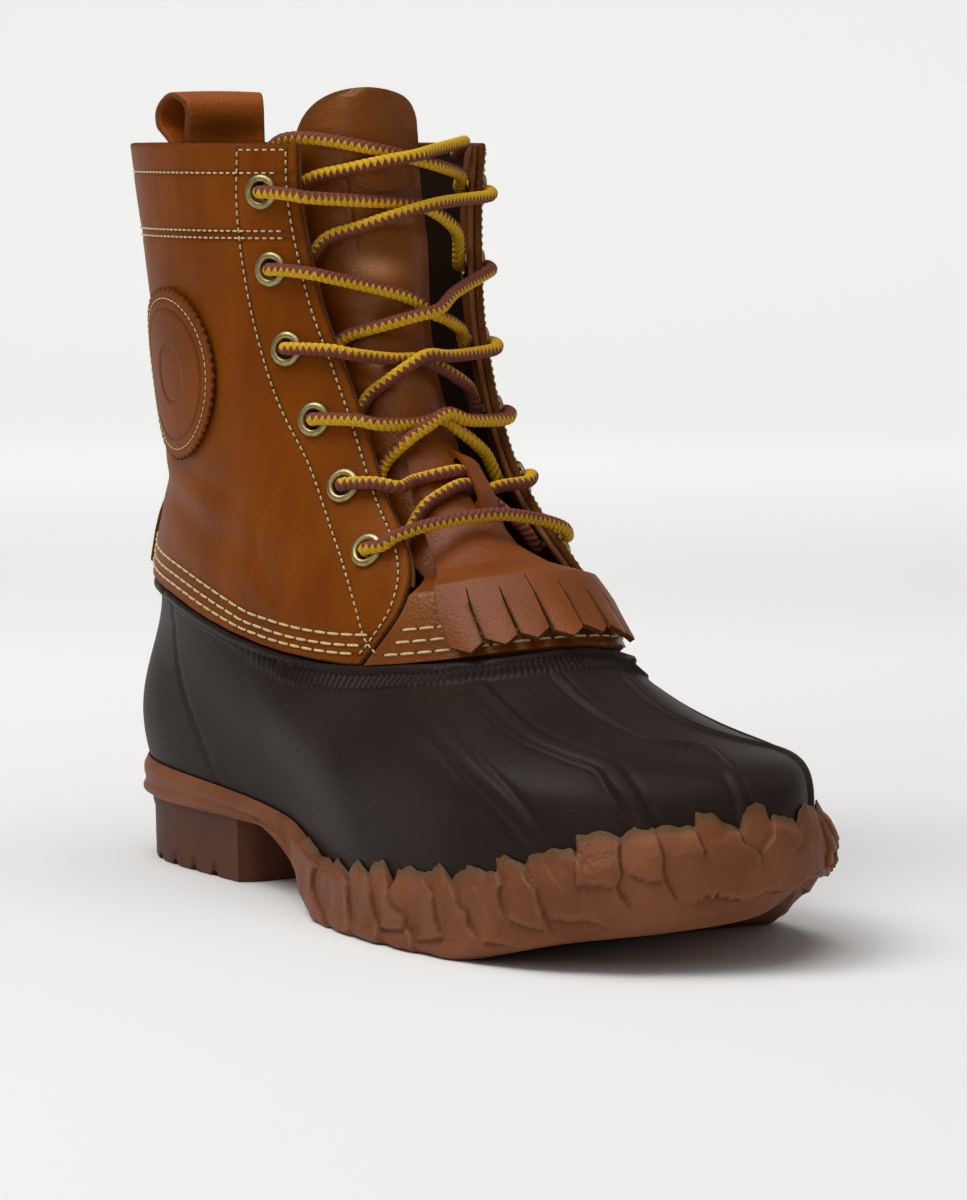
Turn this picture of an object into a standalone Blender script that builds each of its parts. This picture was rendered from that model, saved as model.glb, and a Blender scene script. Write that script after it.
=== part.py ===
import bmesh
import bpy
import numpy as np

# Right-foot rubber-bottom lace boot.
# Tables are in millimetres, meshes in metres; the toe points to -Y, the lateral side is -X.

for item in list(bpy.data.objects):
    bpy.data.objects.remove(item, do_unlink=True)

MM = 0.001
CENTRE = np.array([-1.61, 1.83, 0.0])   # centre of the boot's box on the floor

GAP = 0.3              # clearance between pieces
RUBBER_WALL = 2.4
LEATHER_WALL = 2.2
LEATHER_GAP = 0.55     # clearance of the leather over the rubber
FACING_WALL = 1.9      # extra layer inside the throat edge
FACING_TURN = 20.0     # width of that layer, in degrees of turn
BEAD = 2.3             # step of the rubber below the leather edge
SOLE_WALL = 4.6        # gum side wall at its fullest
SOLE_LIP = 1.3         # gum wall at its ragged top edge
HEEL_SEAT = 19.0       # underside of the sole over the heel block
HEEL_BREAST = 60.0     # front face of the heel block
INSOLE_THICK = 4.0
TONGUE_DROP = 12.2     # depth of the tongue's edges behind the leg skin
TONGUE_LIFT = 0.6      # clearance of its base strip over the rubber
TONGUE_WALL = 2.0
KILTIE_WALL = 1.6
KILTIE_GAP = 0.6       # clearance of the kiltie over the tongue
KILTIE_LEAN = -2.0     # its middle, in degrees towards the lateral side
KILTIE_TOP = 3.35      # level of its upper edge
FRINGE_STRIPS = 7
LACE_RADIUS = 2.2
EYELET_BORE = 2.7
EYELET_RIM = 5.2
PATCH_RADIUS = 26.0
LOOP_TURN = 17.0       # half width of the pull loop, in degrees of turn
LOOP_LEAN = -3.0       # its middle, in degrees towards the medial side
MEDIAL_OPEN = 8.0      # how much further the medial throat edge stands open

# Lower edge of the rubber, then the handles of the curve that rises from it to the seam.
FOOT = np.array([
    # turn    x     y     z  rise bulge reach slope
    [0,       0,  147,   28,   26,   8,   22,  96],
    [40,    -33,  121,   27,   26,   9,   22,  94],
    [88,    -39,   30,   21,   26,   6,   22,  84],
    [118,   -53,  -48,   10,   28,   4,   24,  48],
    [150,   -40, -120,   17,   33,   3,   54,  25],
    [180,     7, -144,   25,   46,   6,   72,  32],
    [210,    43, -113,   21,   48,   5,   56,  45],
    [242,    50,  -55,   12,   29,   4,   30,  50],
    [272,    36,   30,   23,   26,   6,   22,  84],
    [320,    33,  121,   27,   26,   9,   22,  94],
], float)

# Oval sections of the leg, one row per level.
LEG = np.array([
    # back front lateral medial z_back z_side z_front power
    [148,   -60,   44,    47,    91,    70,    77,   0.95],   # seam
    [143.5, -46,   43,    44,   104,    84,    92,   0.95],   # hidden rubber top
    [132.6,  -6,   41,    37.2, 121,   119,   121,   0.95],   # ankle
    [134,    14,   43,    36.2, 158,   158,   158,   0.95],   # shin
    [138.8,  22,   45.2,  39.8, 193,   193,   193,   0.95],   # cuff
    [143.2,  24,   46.8,  43.5, 216,   216,   216,   0.95],   # collar
], float)

# Underside height, spread of the bottom edge, and how far the gum climbs the rubber.
SOLE = np.array([
    # turn floor spread climb
    [0,   19.5,  2.0, 0.05],
    [50,  19.5,  2.0, 0.05],
    [78,  19.5,  2.0, 0.05],
    [93,  11.0,  2.0, 0.05],
    [99,   3.0,  3.5, 0.06],
    [106, -0.5,  5.0, 0.09],
    [116, -0.9,  5.5, 0.13],
    [132, -0.9,  5.5, 0.15],
    [150,  7.5,  3.0, 0.20],
    [165, 11.0,  1.0, 0.20],
    [180, 14.0, -0.5, 0.18],
    [195, 18.5, -1.0, 0.165],
    [210, 16.0, -1.0, 0.16],
    [220,  8.0,  1.0, 0.17],
    [231, -0.9,  3.5, 0.18],
    [246, -0.9,  3.5, 0.15],
    [256, -0.5,  3.5, 0.09],
    [263,  3.0,  3.0, 0.06],
    [269, 11.0,  2.0, 0.05],
    [282, 19.5,  2.0, 0.05],
    [310, 19.5,  2.0, 0.05],
], float)

# Half angle of the throat opening on the lateral side, by level.
THROAT = np.array([
    # level half_turn
    [1.00, 58],
    [1.34, 54],
    [1.76, 48],
    [2.04, 42],
    [2.26, 37],
    [2.45, 34],
    [2.84, 32],
    [3.38, 31],
    [3.82, 33],
    [4.36, 37],
    [4.80, 39],
    [6.70, 38],
], float)

# Eyelets, from the collar down.
EYELETS = np.array([
    # level half_turn
    [5.36, 52],
    [4.60, 52],
    [3.98, 51],
    [3.46, 47],
    [2.96, 44],
    [2.48, 45],
], float)

# Tongue: how far each edge lies beyond the lateral throat edge's angle, how deep it is, and its crown.
TONGUE = np.array([
    # level lateral medial drop crown
    [1.04,  -1.6,  -1.6, 0.00, 0.0],
    [1.50,  -1.8,  -1.8, 0.00, 0.0],
    [2.10,  -2.5,  -2.5, 0.00, 0.0],
    [2.35,  -2.0,  -3.0, 0.62, 2.6],
    [2.60,   6.0,  -3.0, 1.00, 4.9],
    [3.00,  12.0,  -5.0, 1.00, 5.2],
    [3.40,  13.0,  -9.0, 1.00, 5.2],
    [3.80,  13.0, -14.0, 1.00, 5.2],
    [4.80,   8.0, -17.0, 1.00, 5.2],
    [5.80,   9.0, -25.0, 1.00, 5.2],
    [6.20,   6.0, -33.0, 0.97, 4.8],
    [6.45,  -2.0, -37.0, 0.85, 3.3],
    [6.60, -10.0, -40.0, 0.75, 2.1],
    [6.70, -19.0, -45.0, 0.68, 1.0],
], float)
KILTIE = np.array([
    # level half flare
    [0.97, 37, 7.0],
    [1.12, 36, 5.0],
    [1.30, 35, 3.0],
    [1.60, 33, 1.2],
    [2.10, 30, 0.4],
    [2.35, 27, 0.2],
    [2.60, 24, 0.0],
    [3.00, 20, 0.0],
    [3.35, 16, 0.0],
], float)

TAN = (0.36, 0.15, 0.05)
BROWN = (0.035, 0.022, 0.018)
GUM = (0.23, 0.09, 0.05)
BRASS = (0.45, 0.36, 0.2)
CORD = (0.55, 0.33, 0.05)


# Closed cubic through table rows set at given turns.
def loop_spline(turns, rows, at):
    count = len(turns)
    at = np.asarray(at, float) % 360
    i = np.searchsorted(turns, at, side="right") - 1
    before = turns[(i - 1) % count] + 360 * ((i - 1) // count)
    start = turns[i]
    stop = turns[(i + 1) % count] + 360 * ((i + 1) // count)
    after = turns[(i + 2) % count] + 360 * ((i + 2) // count)
    span = (stop - start)[:, None]
    u = (at - start)[:, None] / span
    here = rows[i]
    there = rows[(i + 1) % count]
    lead = (there - rows[(i - 1) % count]) / (stop - before)[:, None] * span
    trail = (rows[(i + 2) % count] - here) / (after - start)[:, None] * span
    value = (1 + 2 * u) * (1 - u) ** 2 * here + u * (1 - u) ** 2 * lead
    return value + u ** 2 * (3 - 2 * u) * there + u ** 2 * (u - 1) * trail


# Points of every leg section at the given turns.
def leg_rings(turn):
    angle = np.radians(turn)[None, :]
    c = np.cos(angle)
    s = np.sin(angle)
    back, front, lateral, medial, zb, zs, zf, power = (LEG[:, k][:, None] for k in range(8))
    x = -np.where(s > 0, lateral, medial) * np.sign(s) * np.abs(s) ** power
    y = (back + front) / 2 + (back - front) / 2 * np.sign(c) * np.abs(c) ** power
    z = zs + (zb - zf) / 2 * c + ((zb + zf) / 2 - zs) * c * c
    return np.stack([x, y, z], -1)


# Level direction pointing away from the foot outline.
def outward(turn):
    after = loop_spline(FOOT[:, 0], FOOT[:, 1:3], turn + 0.5)
    before = loop_spline(FOOT[:, 0], FOOT[:, 1:3], turn - 0.5)
    step = after - before
    side = np.stack([step[:, 1], -step[:, 0], np.zeros(len(turn))], -1)
    return side / np.linalg.norm(side, axis=1)[:, None]


# The boot's skin: level 0 is the rubber's lower edge, 1 the seam, 6 the collar.
def skin(turn, level):
    turn, level = np.broadcast_arrays(np.asarray(turn, float), np.asarray(level, float))
    shape = turn.shape
    turn = turn.ravel()
    level = level.ravel()
    rings = leg_rings(turn)
    foot = loop_spline(FOOT[:, 0], FOOT[:, 1:], turn)
    base = foot[:, :3]
    out = outward(turn)
    up = np.array([0.0, 0.0, 1.0])
    rise, bulge, reach, slope = (foot[:, k][:, None] for k in (3, 4, 5, 6))
    slope = np.radians(slope)
    seam = rings[0]
    low_handle = base + out * bulge + up * rise
    top_handle = seam + reach * (out * np.cos(slope) - up * np.sin(slope))
    u = np.clip(level, 0, 1)[:, None]
    low = (1 - u) ** 3 * base + 3 * u * (1 - u) ** 2 * low_handle
    low = low + 3 * u ** 2 * (1 - u) * top_handle + u ** 3 * seam
    last = len(rings) - 1
    leg = np.clip(level - 1, 0, last)
    i = np.minimum(leg.astype(int), last - 1)
    n = np.arange(len(turn))
    v = (leg - i)[:, None]
    p0 = rings[i, n]
    p1 = rings[i + 1, n]
    pm = np.where((i > 0)[:, None], rings[np.maximum(i - 1, 0), n], 2 * p0 - p1)
    p2 = np.where((i < last - 1)[:, None], rings[np.minimum(i + 2, last), n], 2 * p1 - p0)
    high = 2 * p0 + (p1 - pm) * v + (2 * pm - 5 * p0 + 4 * p1 - p2) * v ** 2
    high = 0.5 * (high + (3 * p0 - pm - 3 * p1 + p2) * v ** 3)
    high = high + np.maximum(level - 1 - last, 0)[:, None] * (rings[-1] - rings[-2])
    return np.where((level > 1)[:, None], high, low).reshape(shape + (3,))


# Unit normal of the skin, pointing out of the boot.
def normal(turn, level):
    level = np.asarray(level, float)
    around = skin(turn + 0.5, level) - skin(turn - 0.5, level)
    along = skin(turn, level + 0.03) - skin(turn, np.maximum(level - 0.03, 0))
    n = np.cross(around, along)
    return n / np.linalg.norm(n, axis=-1)[..., None]


# Skin moved out along its normal.
def layer(turn, level, offset):
    turn, level, offset = np.broadcast_arrays(turn, level, offset)
    return skin(turn, level) + normal(turn, level) * offset[..., None]


# Turn and level of a point found by its level distance and rise from a start point.
def around_point(turn, level, across, rise):
    origin = skin(turn, level)
    side = skin(turn + 0.5, level) - skin(turn - 0.5, level)
    side = side / np.linalg.norm(side)
    lift = np.cross(normal(turn, level), side)
    lift = lift * np.sign(lift[2])
    t = np.full(across.shape, float(turn))
    v = np.full(across.shape, float(level))
    for step in range(6):
        here = skin(t, v) - origin
        dt = skin(t + 0.2, v) - skin(t - 0.2, v)
        dv = skin(t, v + 0.01) - skin(t, v - 0.01)
        a = (dt @ side) / 0.4
        b = (dv @ side) / 0.02
        c = (dt @ lift) / 0.4
        d = (dv @ lift) / 0.02
        e = across - here @ side
        f = rise - here @ lift
        det = a * d - b * c
        t = t + (e * d - b * f) / det
        v = v + (a * f - e * c) / det
    return t, v


# One object with a closed mesh and its own material.
def add(name, points, faces, colour, rough, metal=0.0):
    mesh = bpy.data.meshes.new(name)
    mesh.from_pydata(((np.asarray(points) - CENTRE) * MM).tolist(), [], faces)
    work = bmesh.new()
    work.from_mesh(mesh)
    bmesh.ops.recalc_face_normals(work, faces=work.faces)
    work.to_mesh(mesh)
    work.free()
    item = bpy.data.objects.new(name, mesh)
    bpy.context.scene.collection.objects.link(item)
    skin_material = bpy.data.materials.new(name + "_material")
    skin_material.use_nodes = True
    shader = skin_material.node_tree.nodes["Principled BSDF"]
    shader.inputs["Base Color"].default_value = (*colour, 1.0)
    shader.inputs["Roughness"].default_value = rough
    shader.inputs["Metallic"].default_value = metal
    mesh.materials.append(skin_material)
    return item


# A hidden tool for a Boolean on another object.
def tool(name, points, faces, target, operation):
    item = add(name, points, faces, BROWN, 0.6)
    item.hide_render = True
    item.display_type = "WIRE"
    change = target.modifiers.new(name, "BOOLEAN")
    change.operation = operation
    change.solver = "EXACT"
    change.object = item


# Faces of a grid that closes on itself in both directions.
def ring_faces(rows, columns, close_rows=True):
    faces = []
    for r in range(rows if close_rows else rows - 1):
        for c in range(columns):
            d = (c + 1) % columns
            e = (r + 1) % rows
            faces.append((r * columns + c, r * columns + d, e * columns + d, e * columns + c))
    return faces


# Closed sheet between two grids; cells outside the mask are left open and walled.
def sheet(top, bottom, mask=None):
    rows, columns = top.shape[:2]
    if mask is None:
        mask = np.ones((rows - 1, columns - 1), bool)
    points = np.concatenate([top.reshape(-1, 3), bottom.reshape(-1, 3)])
    low = rows * columns
    wide = np.zeros((rows + 1, columns + 1), bool)
    wide[1:-1, 1:-1] = mask
    faces = []
    for r in range(rows - 1):
        for c in range(columns - 1):
            if not mask[r, c]:
                continue
            corners = [r * columns + c, r * columns + c + 1, (r + 1) * columns + c + 1, (r + 1) * columns + c]
            faces.append(tuple(corners))
            faces.append(tuple(k + low for k in corners))
            beside = [wide[r, c + 1], wide[r + 1, c + 2], wide[r + 2, c + 1], wide[r + 1, c]]
            for k in range(4):
                if not beside[k]:
                    m = corners[k]
                    n = corners[(k + 1) % 4]
                    faces.append((m, n, n + low, m + low))
    used = np.unique([k for face in faces for k in face])
    index = np.full(len(points), -1)
    index[used] = np.arange(len(used))
    return points[used], [tuple(int(index[k]) for k in face) for face in faces]


# Rungs that close a ring whose points face each other across the boot.
def ladder(ring, first, start, count):
    size = len(ring)
    half = size // 2
    points = []
    rungs = [[first]]
    for i in range(1, half):
        ids = [first + i]
        for k in range(1, count):
            points.append(ring[i] + (ring[size - i] - ring[i]) * k / count)
            ids.append(start + len(points) - 1)
        ids.append(first + size - i)
        rungs.append(ids)
    rungs.append([first + half])
    faces = []
    for a, b in zip(rungs[:-1], rungs[1:]):
        for k in range(count):
            if len(a) == 1:
                faces.append((a[0], b[k], b[k + 1]))
            elif len(b) == 1:
                faces.append((a[k], b[0], a[k + 1]))
            else:
                faces.append((a[k], b[k], b[k + 1], a[k + 1]))
    return points, faces


# Smooth path through a few points.
def smooth_path(points, count):
    points = np.asarray(points, float)
    at = np.linspace(0, len(points) - 1, count)
    i = np.minimum(at.astype(int), len(points) - 2)
    u = (at - i)[:, None]
    p0 = points[i]
    p1 = points[i + 1]
    pm = np.where((i > 0)[:, None], points[np.maximum(i - 1, 0)], 2 * p0 - p1)
    p2 = np.where((i < len(points) - 2)[:, None], points[np.minimum(i + 2, len(points) - 1)], 2 * p1 - p0)
    curve = 2 * p0 + (p1 - pm) * u + (2 * pm - 5 * p0 + 4 * p1 - p2) * u ** 2
    return 0.5 * (curve + (3 * p0 - pm - 3 * p1 + p2) * u ** 3)


# Round bar of a given radius along a path.
def bar(path, radius, sides=5):
    ahead = np.gradient(path, axis=0)
    ahead = ahead / np.linalg.norm(ahead, axis=1)[:, None]
    over = np.cross(ahead, np.array([0.0, 0.0, 1.0]))
    over = over / np.linalg.norm(over, axis=1)[:, None]
    lift = np.cross(over, ahead)
    angle = np.arange(sides) * 2 * np.pi / sides
    circle = np.cos(angle)[None, :, None] * over[:, None] + np.sin(angle)[None, :, None] * lift[:, None]
    grid = path[:, None] + radius * circle
    faces = ring_faces(len(path), sides, close_rows=False)
    faces.append(tuple(range(sides)))
    faces.append(tuple(range((len(path) - 1) * sides, len(path) * sides)))
    return grid.reshape(-1, 3), faces


# Half angle of the throat: sign -1 is its lateral edge, 1 its medial one.
def throat_half(level, sign=-1):
    half = np.interp(level, THROAT[:, 0], THROAT[:, 1])
    return half + MEDIAL_OPEN * (sign > 0) * np.clip((level - 2.4) / 0.8, 0, 1)


# Angles of the tongue's two edges from the front line.
def tongue_edges(level):
    half = throat_half(level)
    lateral = half + np.interp(level, TONGUE[:, 0], TONGUE[:, 1])
    return lateral, half + np.interp(level, TONGUE[:, 0], TONGUE[:, 2])


# Height of the tongue's face over the skin: deep at both edges, crowned between them.
def tongue_height(turn, level):
    lateral, medial = tongue_edges(level)
    drop = np.interp(level, TONGUE[:, 0], TONGUE[:, 3]) * TONGUE_DROP
    crown = np.interp(level, TONGUE[:, 0], TONGUE[:, 4])
    share = (turn - 180 - (medial - lateral) / 2) / ((medial + lateral) / 2)
    return TONGUE_LIFT + TONGUE_WALL - drop + crown * np.clip(1 - share ** 2, 0, 1) ** 2


# Several closed pieces put into one tool mesh.
def together(pieces):
    points = []
    faces = []
    for piece, sides in pieces:
        start = sum(len(p) for p in points)
        points.append(np.asarray(piece))
        faces.extend(tuple(k + start for k in face) for face in sides)
    return np.concatenate(points), faces


# Gum cup sole: inside wall, ragged lip, leaf-scaled outside wall, then plate and underside.
COLUMNS = 56
turn = np.arange(COLUMNS) * 360.0 / COLUMNS
sole = loop_spline(SOLE[:, 0], SOLE[:, 1:], turn)
floor = np.clip(sole[:, 0], 0, HEEL_SEAT)
spread = sole[:, 1]
leafy = np.clip((sole[:, 2] - 0.06) / 0.06, 0, 1)
ragged = np.where(np.arange(COLUMNS) % 2 == 0, 1.0, -1.0) * leafy
climb = sole[:, 2] * (1 + 0.13 * ragged)
edge = skin(turn, np.zeros(COLUMNS))
out = outward(turn)
flat = np.array([1.0, 1.0, 0.0])
up = np.array([0.0, 0.0, 1.0])
plate = edge - out * 5.0 - up * 0.4
corner = edge + out * 0.4 - up * 0.4
full = SOLE_WALL * (0.6 + 0.4 * leafy) + 0.7 * ragged
rows = [plate, corner]
for part in (0.4, 1.0):
    rows.append(layer(turn, climb * part, np.full(COLUMNS, GAP + 0.15)))
rows.append(layer(turn, climb, np.full(COLUMNS, GAP + 0.15 + SOLE_LIP)))
rows.append(layer(turn, climb * 0.8, full * 0.72))
rows.append(layer(turn, climb * 0.35, full))
mid = edge[:, 2] * 0.55 + floor * 0.45
rows.append(edge * flat + out * (full + 0.4)[:, None] + up * mid[:, None])
rows.append(edge * flat + out * (spread + 1.2)[:, None] + up * (floor + 1.8)[:, None])
rows.append(edge * flat + out * (spread - 1.2)[:, None] + up * floor[:, None])
grid = np.stack(rows)
points = grid.reshape(-1, 3)
faces = ring_faces(len(rows), COLUMNS, close_rows=False)
top_points, top_faces = ladder(grid[0], 0, len(points), 5)
points = np.concatenate([points, top_points])
low_points, low_faces = ladder(grid[-1], (len(rows) - 1) * COLUMNS, len(points), 6)
points = np.concatenate([points, low_points])
outsole = add("outsole", points, faces + top_faces + low_faces, GUM, 0.62)
sole_floor = grid[-1]

# Chevron grooves under the forefoot.
grooves = []
for y in np.arange(-76.0, -30.0, 12.5):
    plan = np.array([[-34, y], [0, y - 8], [34, y], [34, y + 5], [0, y - 3], [-34, y + 5]])
    prism = np.concatenate([np.c_[plan, np.full(6, -4.0)], np.c_[plan, np.full(6, 3.0)]])
    prism_faces = [(0, 1, 4, 5), (1, 2, 3, 4), (6, 7, 10, 11), (7, 8, 9, 10)]
    prism_faces += [(k, (k + 1) % 6, (k + 1) % 6 + 6, k + 6) for k in range(6)]
    grooves.append((prism, prism_faces))
groove_points, groove_faces = together(grooves)
tool("forefoot_grooves", groove_points, groove_faces, outsole, "DIFFERENCE")

# Heel block under the seat, with cross grooves open at both sides.
heel_turn = np.linspace(-74, 74, 21)
heel_edge = skin(heel_turn, np.zeros(21))
heel_out = outward(heel_turn)
rim = heel_edge + heel_out * 0.4
rim = rim[rim[:, 1] > HEEL_BREAST + 2]
rim = np.concatenate([[[rim[0, 0] + 0.3, HEEL_BREAST, 0]], rim, [[rim[-1, 0] - 0.3, HEEL_BREAST, 0]]])
foot_rim = rim + (np.array([0.0, 104.0, 0.0]) - rim) * 0.03
foot_rim[0, 1] = HEEL_BREAST
foot_rim[-1, 1] = HEEL_BREAST
size = len(rim)
heel_points = np.concatenate([rim * flat + up * (HEEL_SEAT - 0.2), foot_rim * flat])
heel_faces = [tuple(range(size)), tuple(range(2 * size - 1, size - 1, -1))]
heel_faces += [(k, (k + 1) % size, (k + 1) % size + size, k + size) for k in range(size)]
heel = add("heel_block", heel_points, heel_faces, (0.13, 0.045, 0.03), 0.6)
grooves = []
for y in np.arange(76.0, 136.0, 13.0):
    box = np.array([[x, y + w, z] for z in (-3.0, 3.2) for x, w in ((-60, 0), (60, 0), (60, 4), (-60, 4))])
    box_faces = [(0, 1, 2, 3), (4, 5, 6, 7), (0, 1, 5, 4), (1, 2, 6, 5), (2, 3, 7, 6), (3, 0, 4, 7)]
    grooves.append((box, box_faces))
groove_points, groove_faces = together(grooves)
tool("heel_grooves", groove_points, groove_faces, heel, "DIFFERENCE")

# Insole on the plate, inside the rubber.
INNER = 32
turn = np.arange(INNER) * 360.0 / INNER
edge = skin(turn, np.zeros(INNER)) - outward(turn) * (RUBBER_WALL + 1.4)
grid = np.stack([edge + up * 0.2, edge + up * (0.2 + INSOLE_THICK)])
points = grid.reshape(-1, 3)
faces = ring_faces(2, INNER, close_rows=False)
low_points, low_faces = ladder(grid[0], 0, len(points), 3)
points = np.concatenate([points, low_points])
top_points, top_faces = ladder(grid[1], INNER, len(points), 3)
points = np.concatenate([points, top_points])
add("insole", points, faces + low_faces + top_faces, (0.4, 0.3, 0.2), 0.85)

# Hollow rubber bottom with a bead under the leather edge.
COLUMNS = 56
turn = np.arange(COLUMNS) * 360.0 / COLUMNS
outer = [(0, 0), (0.1, 0), (0.22, 0), (0.36, 0), (0.5, 0), (0.65, 0), (0.8, 0)]
outer += [(0.945, 0.2), (0.955, BEAD), (0.99, BEAD), (1.0, 0), (1.5, 0), (2.0, 0)]
inner = [(2.0, 1), (1.0, 1), (0.8, 1), (0.63, 1), (0.46, 1), (0.29, 1), (0.13, 1), (0, 1)]
rows = [layer(turn, np.full(COLUMNS, a), np.full(COLUMNS, float(b))) for a, b in outer]
rows += [layer(turn, np.full(COLUMNS, a), np.full(COLUMNS, -RUBBER_WALL * b)) for a, b in inner]
grid = np.stack(rows)
add("rubber_bottom", grid.reshape(-1, 3), ring_faces(len(rows), COLUMNS), BROWN, 0.5)

# Leather leg, open at the collar and down the throat, with a facing inside the throat edge.
levels = np.array([1.02, 1.34, 1.76, 2.04, 2.16, 2.3, 2.5, 2.84, 3.3, 3.8, 4.36, 4.8, 5.4, 6.0])
inset = np.array([0.0, 0.5, 1.0, 1.12])
share = np.linspace(1, 0, 11)[1:]
halves = []
for sign in (-1, 1):
    half = 180 - throat_half(levels, sign)
    side = [half - FACING_TURN * k for k in inset]
    halves.append(side + [(half - FACING_TURN * inset[-1]) * k for k in share])
turns = np.stack(halves[0] + [-k for k in halves[1][-2::-1]], 1)
lined = np.array([1, 1, 1, 0] + [0] * 10)
lined = np.concatenate([lined, lined[-2::-1]])
deep = np.where(levels > 2.2, FACING_WALL, 0.0)[:, None] * lined[None, :]
level_grid = np.broadcast_to(levels[:, None], turns.shape)
shaft_top = layer(turns, level_grid, np.full(turns.shape, LEATHER_GAP + LEATHER_WALL))
shaft_low = layer(turns, level_grid, LEATHER_GAP - deep)
points, faces = sheet(shaft_top, shaft_low)
shaft = add("leather_shaft", points, faces, TAN, 0.55)

# Eyelets and the holes they stand in.
holes = []
for k, (level, half_turn) in enumerate(EYELETS):
    for side_name, sign in (("lateral", -1), ("medial", 1)):
        open_turn = half_turn + throat_half(level, sign) - throat_half(level)
        at = np.array([180.0 + sign * open_turn])
        n = normal(at, np.array([level]))[0]
        centre = skin(at, np.array([level]))[0] + n * (LEATHER_GAP + LEATHER_WALL)
        across = np.cross(n, up)
        across = across / np.linalg.norm(across)
        lift = np.cross(across, n)
        angle = np.arange(8) * np.pi / 4
        circle = np.cos(angle)[:, None] * across + np.sin(angle)[:, None] * lift
        profile = [(EYELET_BORE, 1.5), (4.5, 1.6), (EYELET_RIM, 0.6), (3.2, 0.6), (3.2, -4.3), (EYELET_BORE, -4.3)]
        grid = np.stack([centre + circle * r + n * h for r, h in profile])
        name = "eyelet_%s_%d" % (side_name, k + 1)
        add(name, grid.reshape(-1, 3), ring_faces(len(profile), 8), BRASS, 0.35, 0.9)
        drill = np.concatenate([centre + circle * 3.7 + n * 5, centre + circle * 3.7 - n * 9])
        drill_faces = ring_faces(2, 8, close_rows=False) + [tuple(range(8)), tuple(range(8, 16))]
        holes.append((drill, drill_faces))
hole_points, hole_faces = together(holes)
tool("eyelet_holes", hole_points, hole_faces, shaft, "DIFFERENCE")

# Tongue: its base strip lies on the rubber, the rest runs behind the throat edges.
levels = np.array([1.04, 1.4, 1.75, 2.1, 2.22, 2.35, 2.6, 3.0, 3.4, 3.8, 4.3, 4.8, 5.8, 6.2, 6.45, 6.6, 6.7])
lateral, medial = tongue_edges(levels)
turns = 180 - lateral[:, None] + (lateral + medial)[:, None] * np.linspace(0, 1, 11)
level_grid = np.broadcast_to(levels[:, None], turns.shape)
height = tongue_height(turns, level_grid)
points, faces = sheet(layer(turns, level_grid, height), layer(turns, level_grid, height - TONGUE_WALL))
add("tongue", points, faces, TAN, 0.55)

# Kiltie over the tongue, cut into strips below and slit twice for the lace.
levels = np.array([0.97, 1.12, 1.4, 1.75, 2.1, 2.22, 2.35, 2.6, 3.0, KILTIE_TOP])
half = np.interp(levels, KILTIE[:, 0], KILTIE[:, 1])
flare = np.interp(levels, KILTIE[:, 0], KILTIE[:, 2])
strip = 2.0 / FRINGE_STRIPS
marks = []
for k in range(FRINGE_STRIPS):
    marks += [-1 + strip * (k + 0.05), -1 + strip * (k + 0.5), -1 + strip * (k + 0.95)]
marks = np.array(marks)
turns = 180 + KILTIE_LEAN + half[:, None] * marks[None, :]
level_grid = np.repeat(levels[:, None], len(marks), 1)
level_grid[0] += np.tile([0.035, 0.0, 0.035], FRINGE_STRIPS)
base = tongue_height(turns, level_grid) + KILTIE_GAP + flare[:, None]
kiltie_top = layer(turns, level_grid, base + KILTIE_WALL)
kiltie_low = layer(turns, level_grid, base)
mask = np.ones((len(levels) - 1, len(marks) - 1), bool)
mask[:3, 2::3] = False
mask[6, [11, 17]] = False
points, faces = sheet(kiltie_top, kiltie_low, mask)
add("kiltie", points, faces, TAN, 0.58)

# Strip over the rear seam.
levels = np.array([1.06, 1.5, 2.0, 2.5, 3.0, 3.5])
turns = np.array([28, 28, 27, 26, 24, 22.0])[:, None] * np.linspace(-1, 1, 7)[None, :]
level_grid = np.broadcast_to(levels[:, None], turns.shape)
outside = LEATHER_GAP + LEATHER_WALL + 0.7
points, faces = sheet(layer(turns, level_grid, np.full(turns.shape, outside + 1.4)),
                      layer(turns, level_grid, np.full(turns.shape, outside)))
add("back_stay", points, faces, TAN, 0.55)

# Pull loop astride the rear collar.
LOOP = np.array([
    # level offset
    [5.20, 4.7],
    [5.70, 4.7],
    [6.02, 4.9],
    [6.30, 7.6],
    [6.51, 6.6],
    [6.63, 1.3],
    [6.51, -4.2],
    [6.30, -5.4],
    [6.02, -2.2],
    [5.70, -1.3],
    [5.20, -1.3],
], float)
path = smooth_path(np.c_[LOOP[:, 0] * 23.0, LOOP[:, 1]], 15)
ahead = np.gradient(path, axis=0)
ahead = ahead / np.linalg.norm(ahead, axis=1)[:, None]
turn_side = np.stack([-ahead[:, 1], ahead[:, 0]], 1)
span = LOOP_LEAN + np.linspace(-LOOP_TURN, LOOP_TURN, 6)
faces_of_loop = []
for shift in (1.0, -1.0):
    track = path + turn_side * shift
    straight = np.clip((track[:, :1] / 23.0 - 6.0) / 0.25, 0, 1) * 48.0 * (1 - np.cos(np.radians(span - LOOP_LEAN)))
    faces_of_loop.append(layer(span[None, :], track[:, :1] / 23.0, track[:, 1:] + straight))
points, faces = sheet(*faces_of_loop)
add("pull_loop", points, faces, TAN, 0.55)

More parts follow.
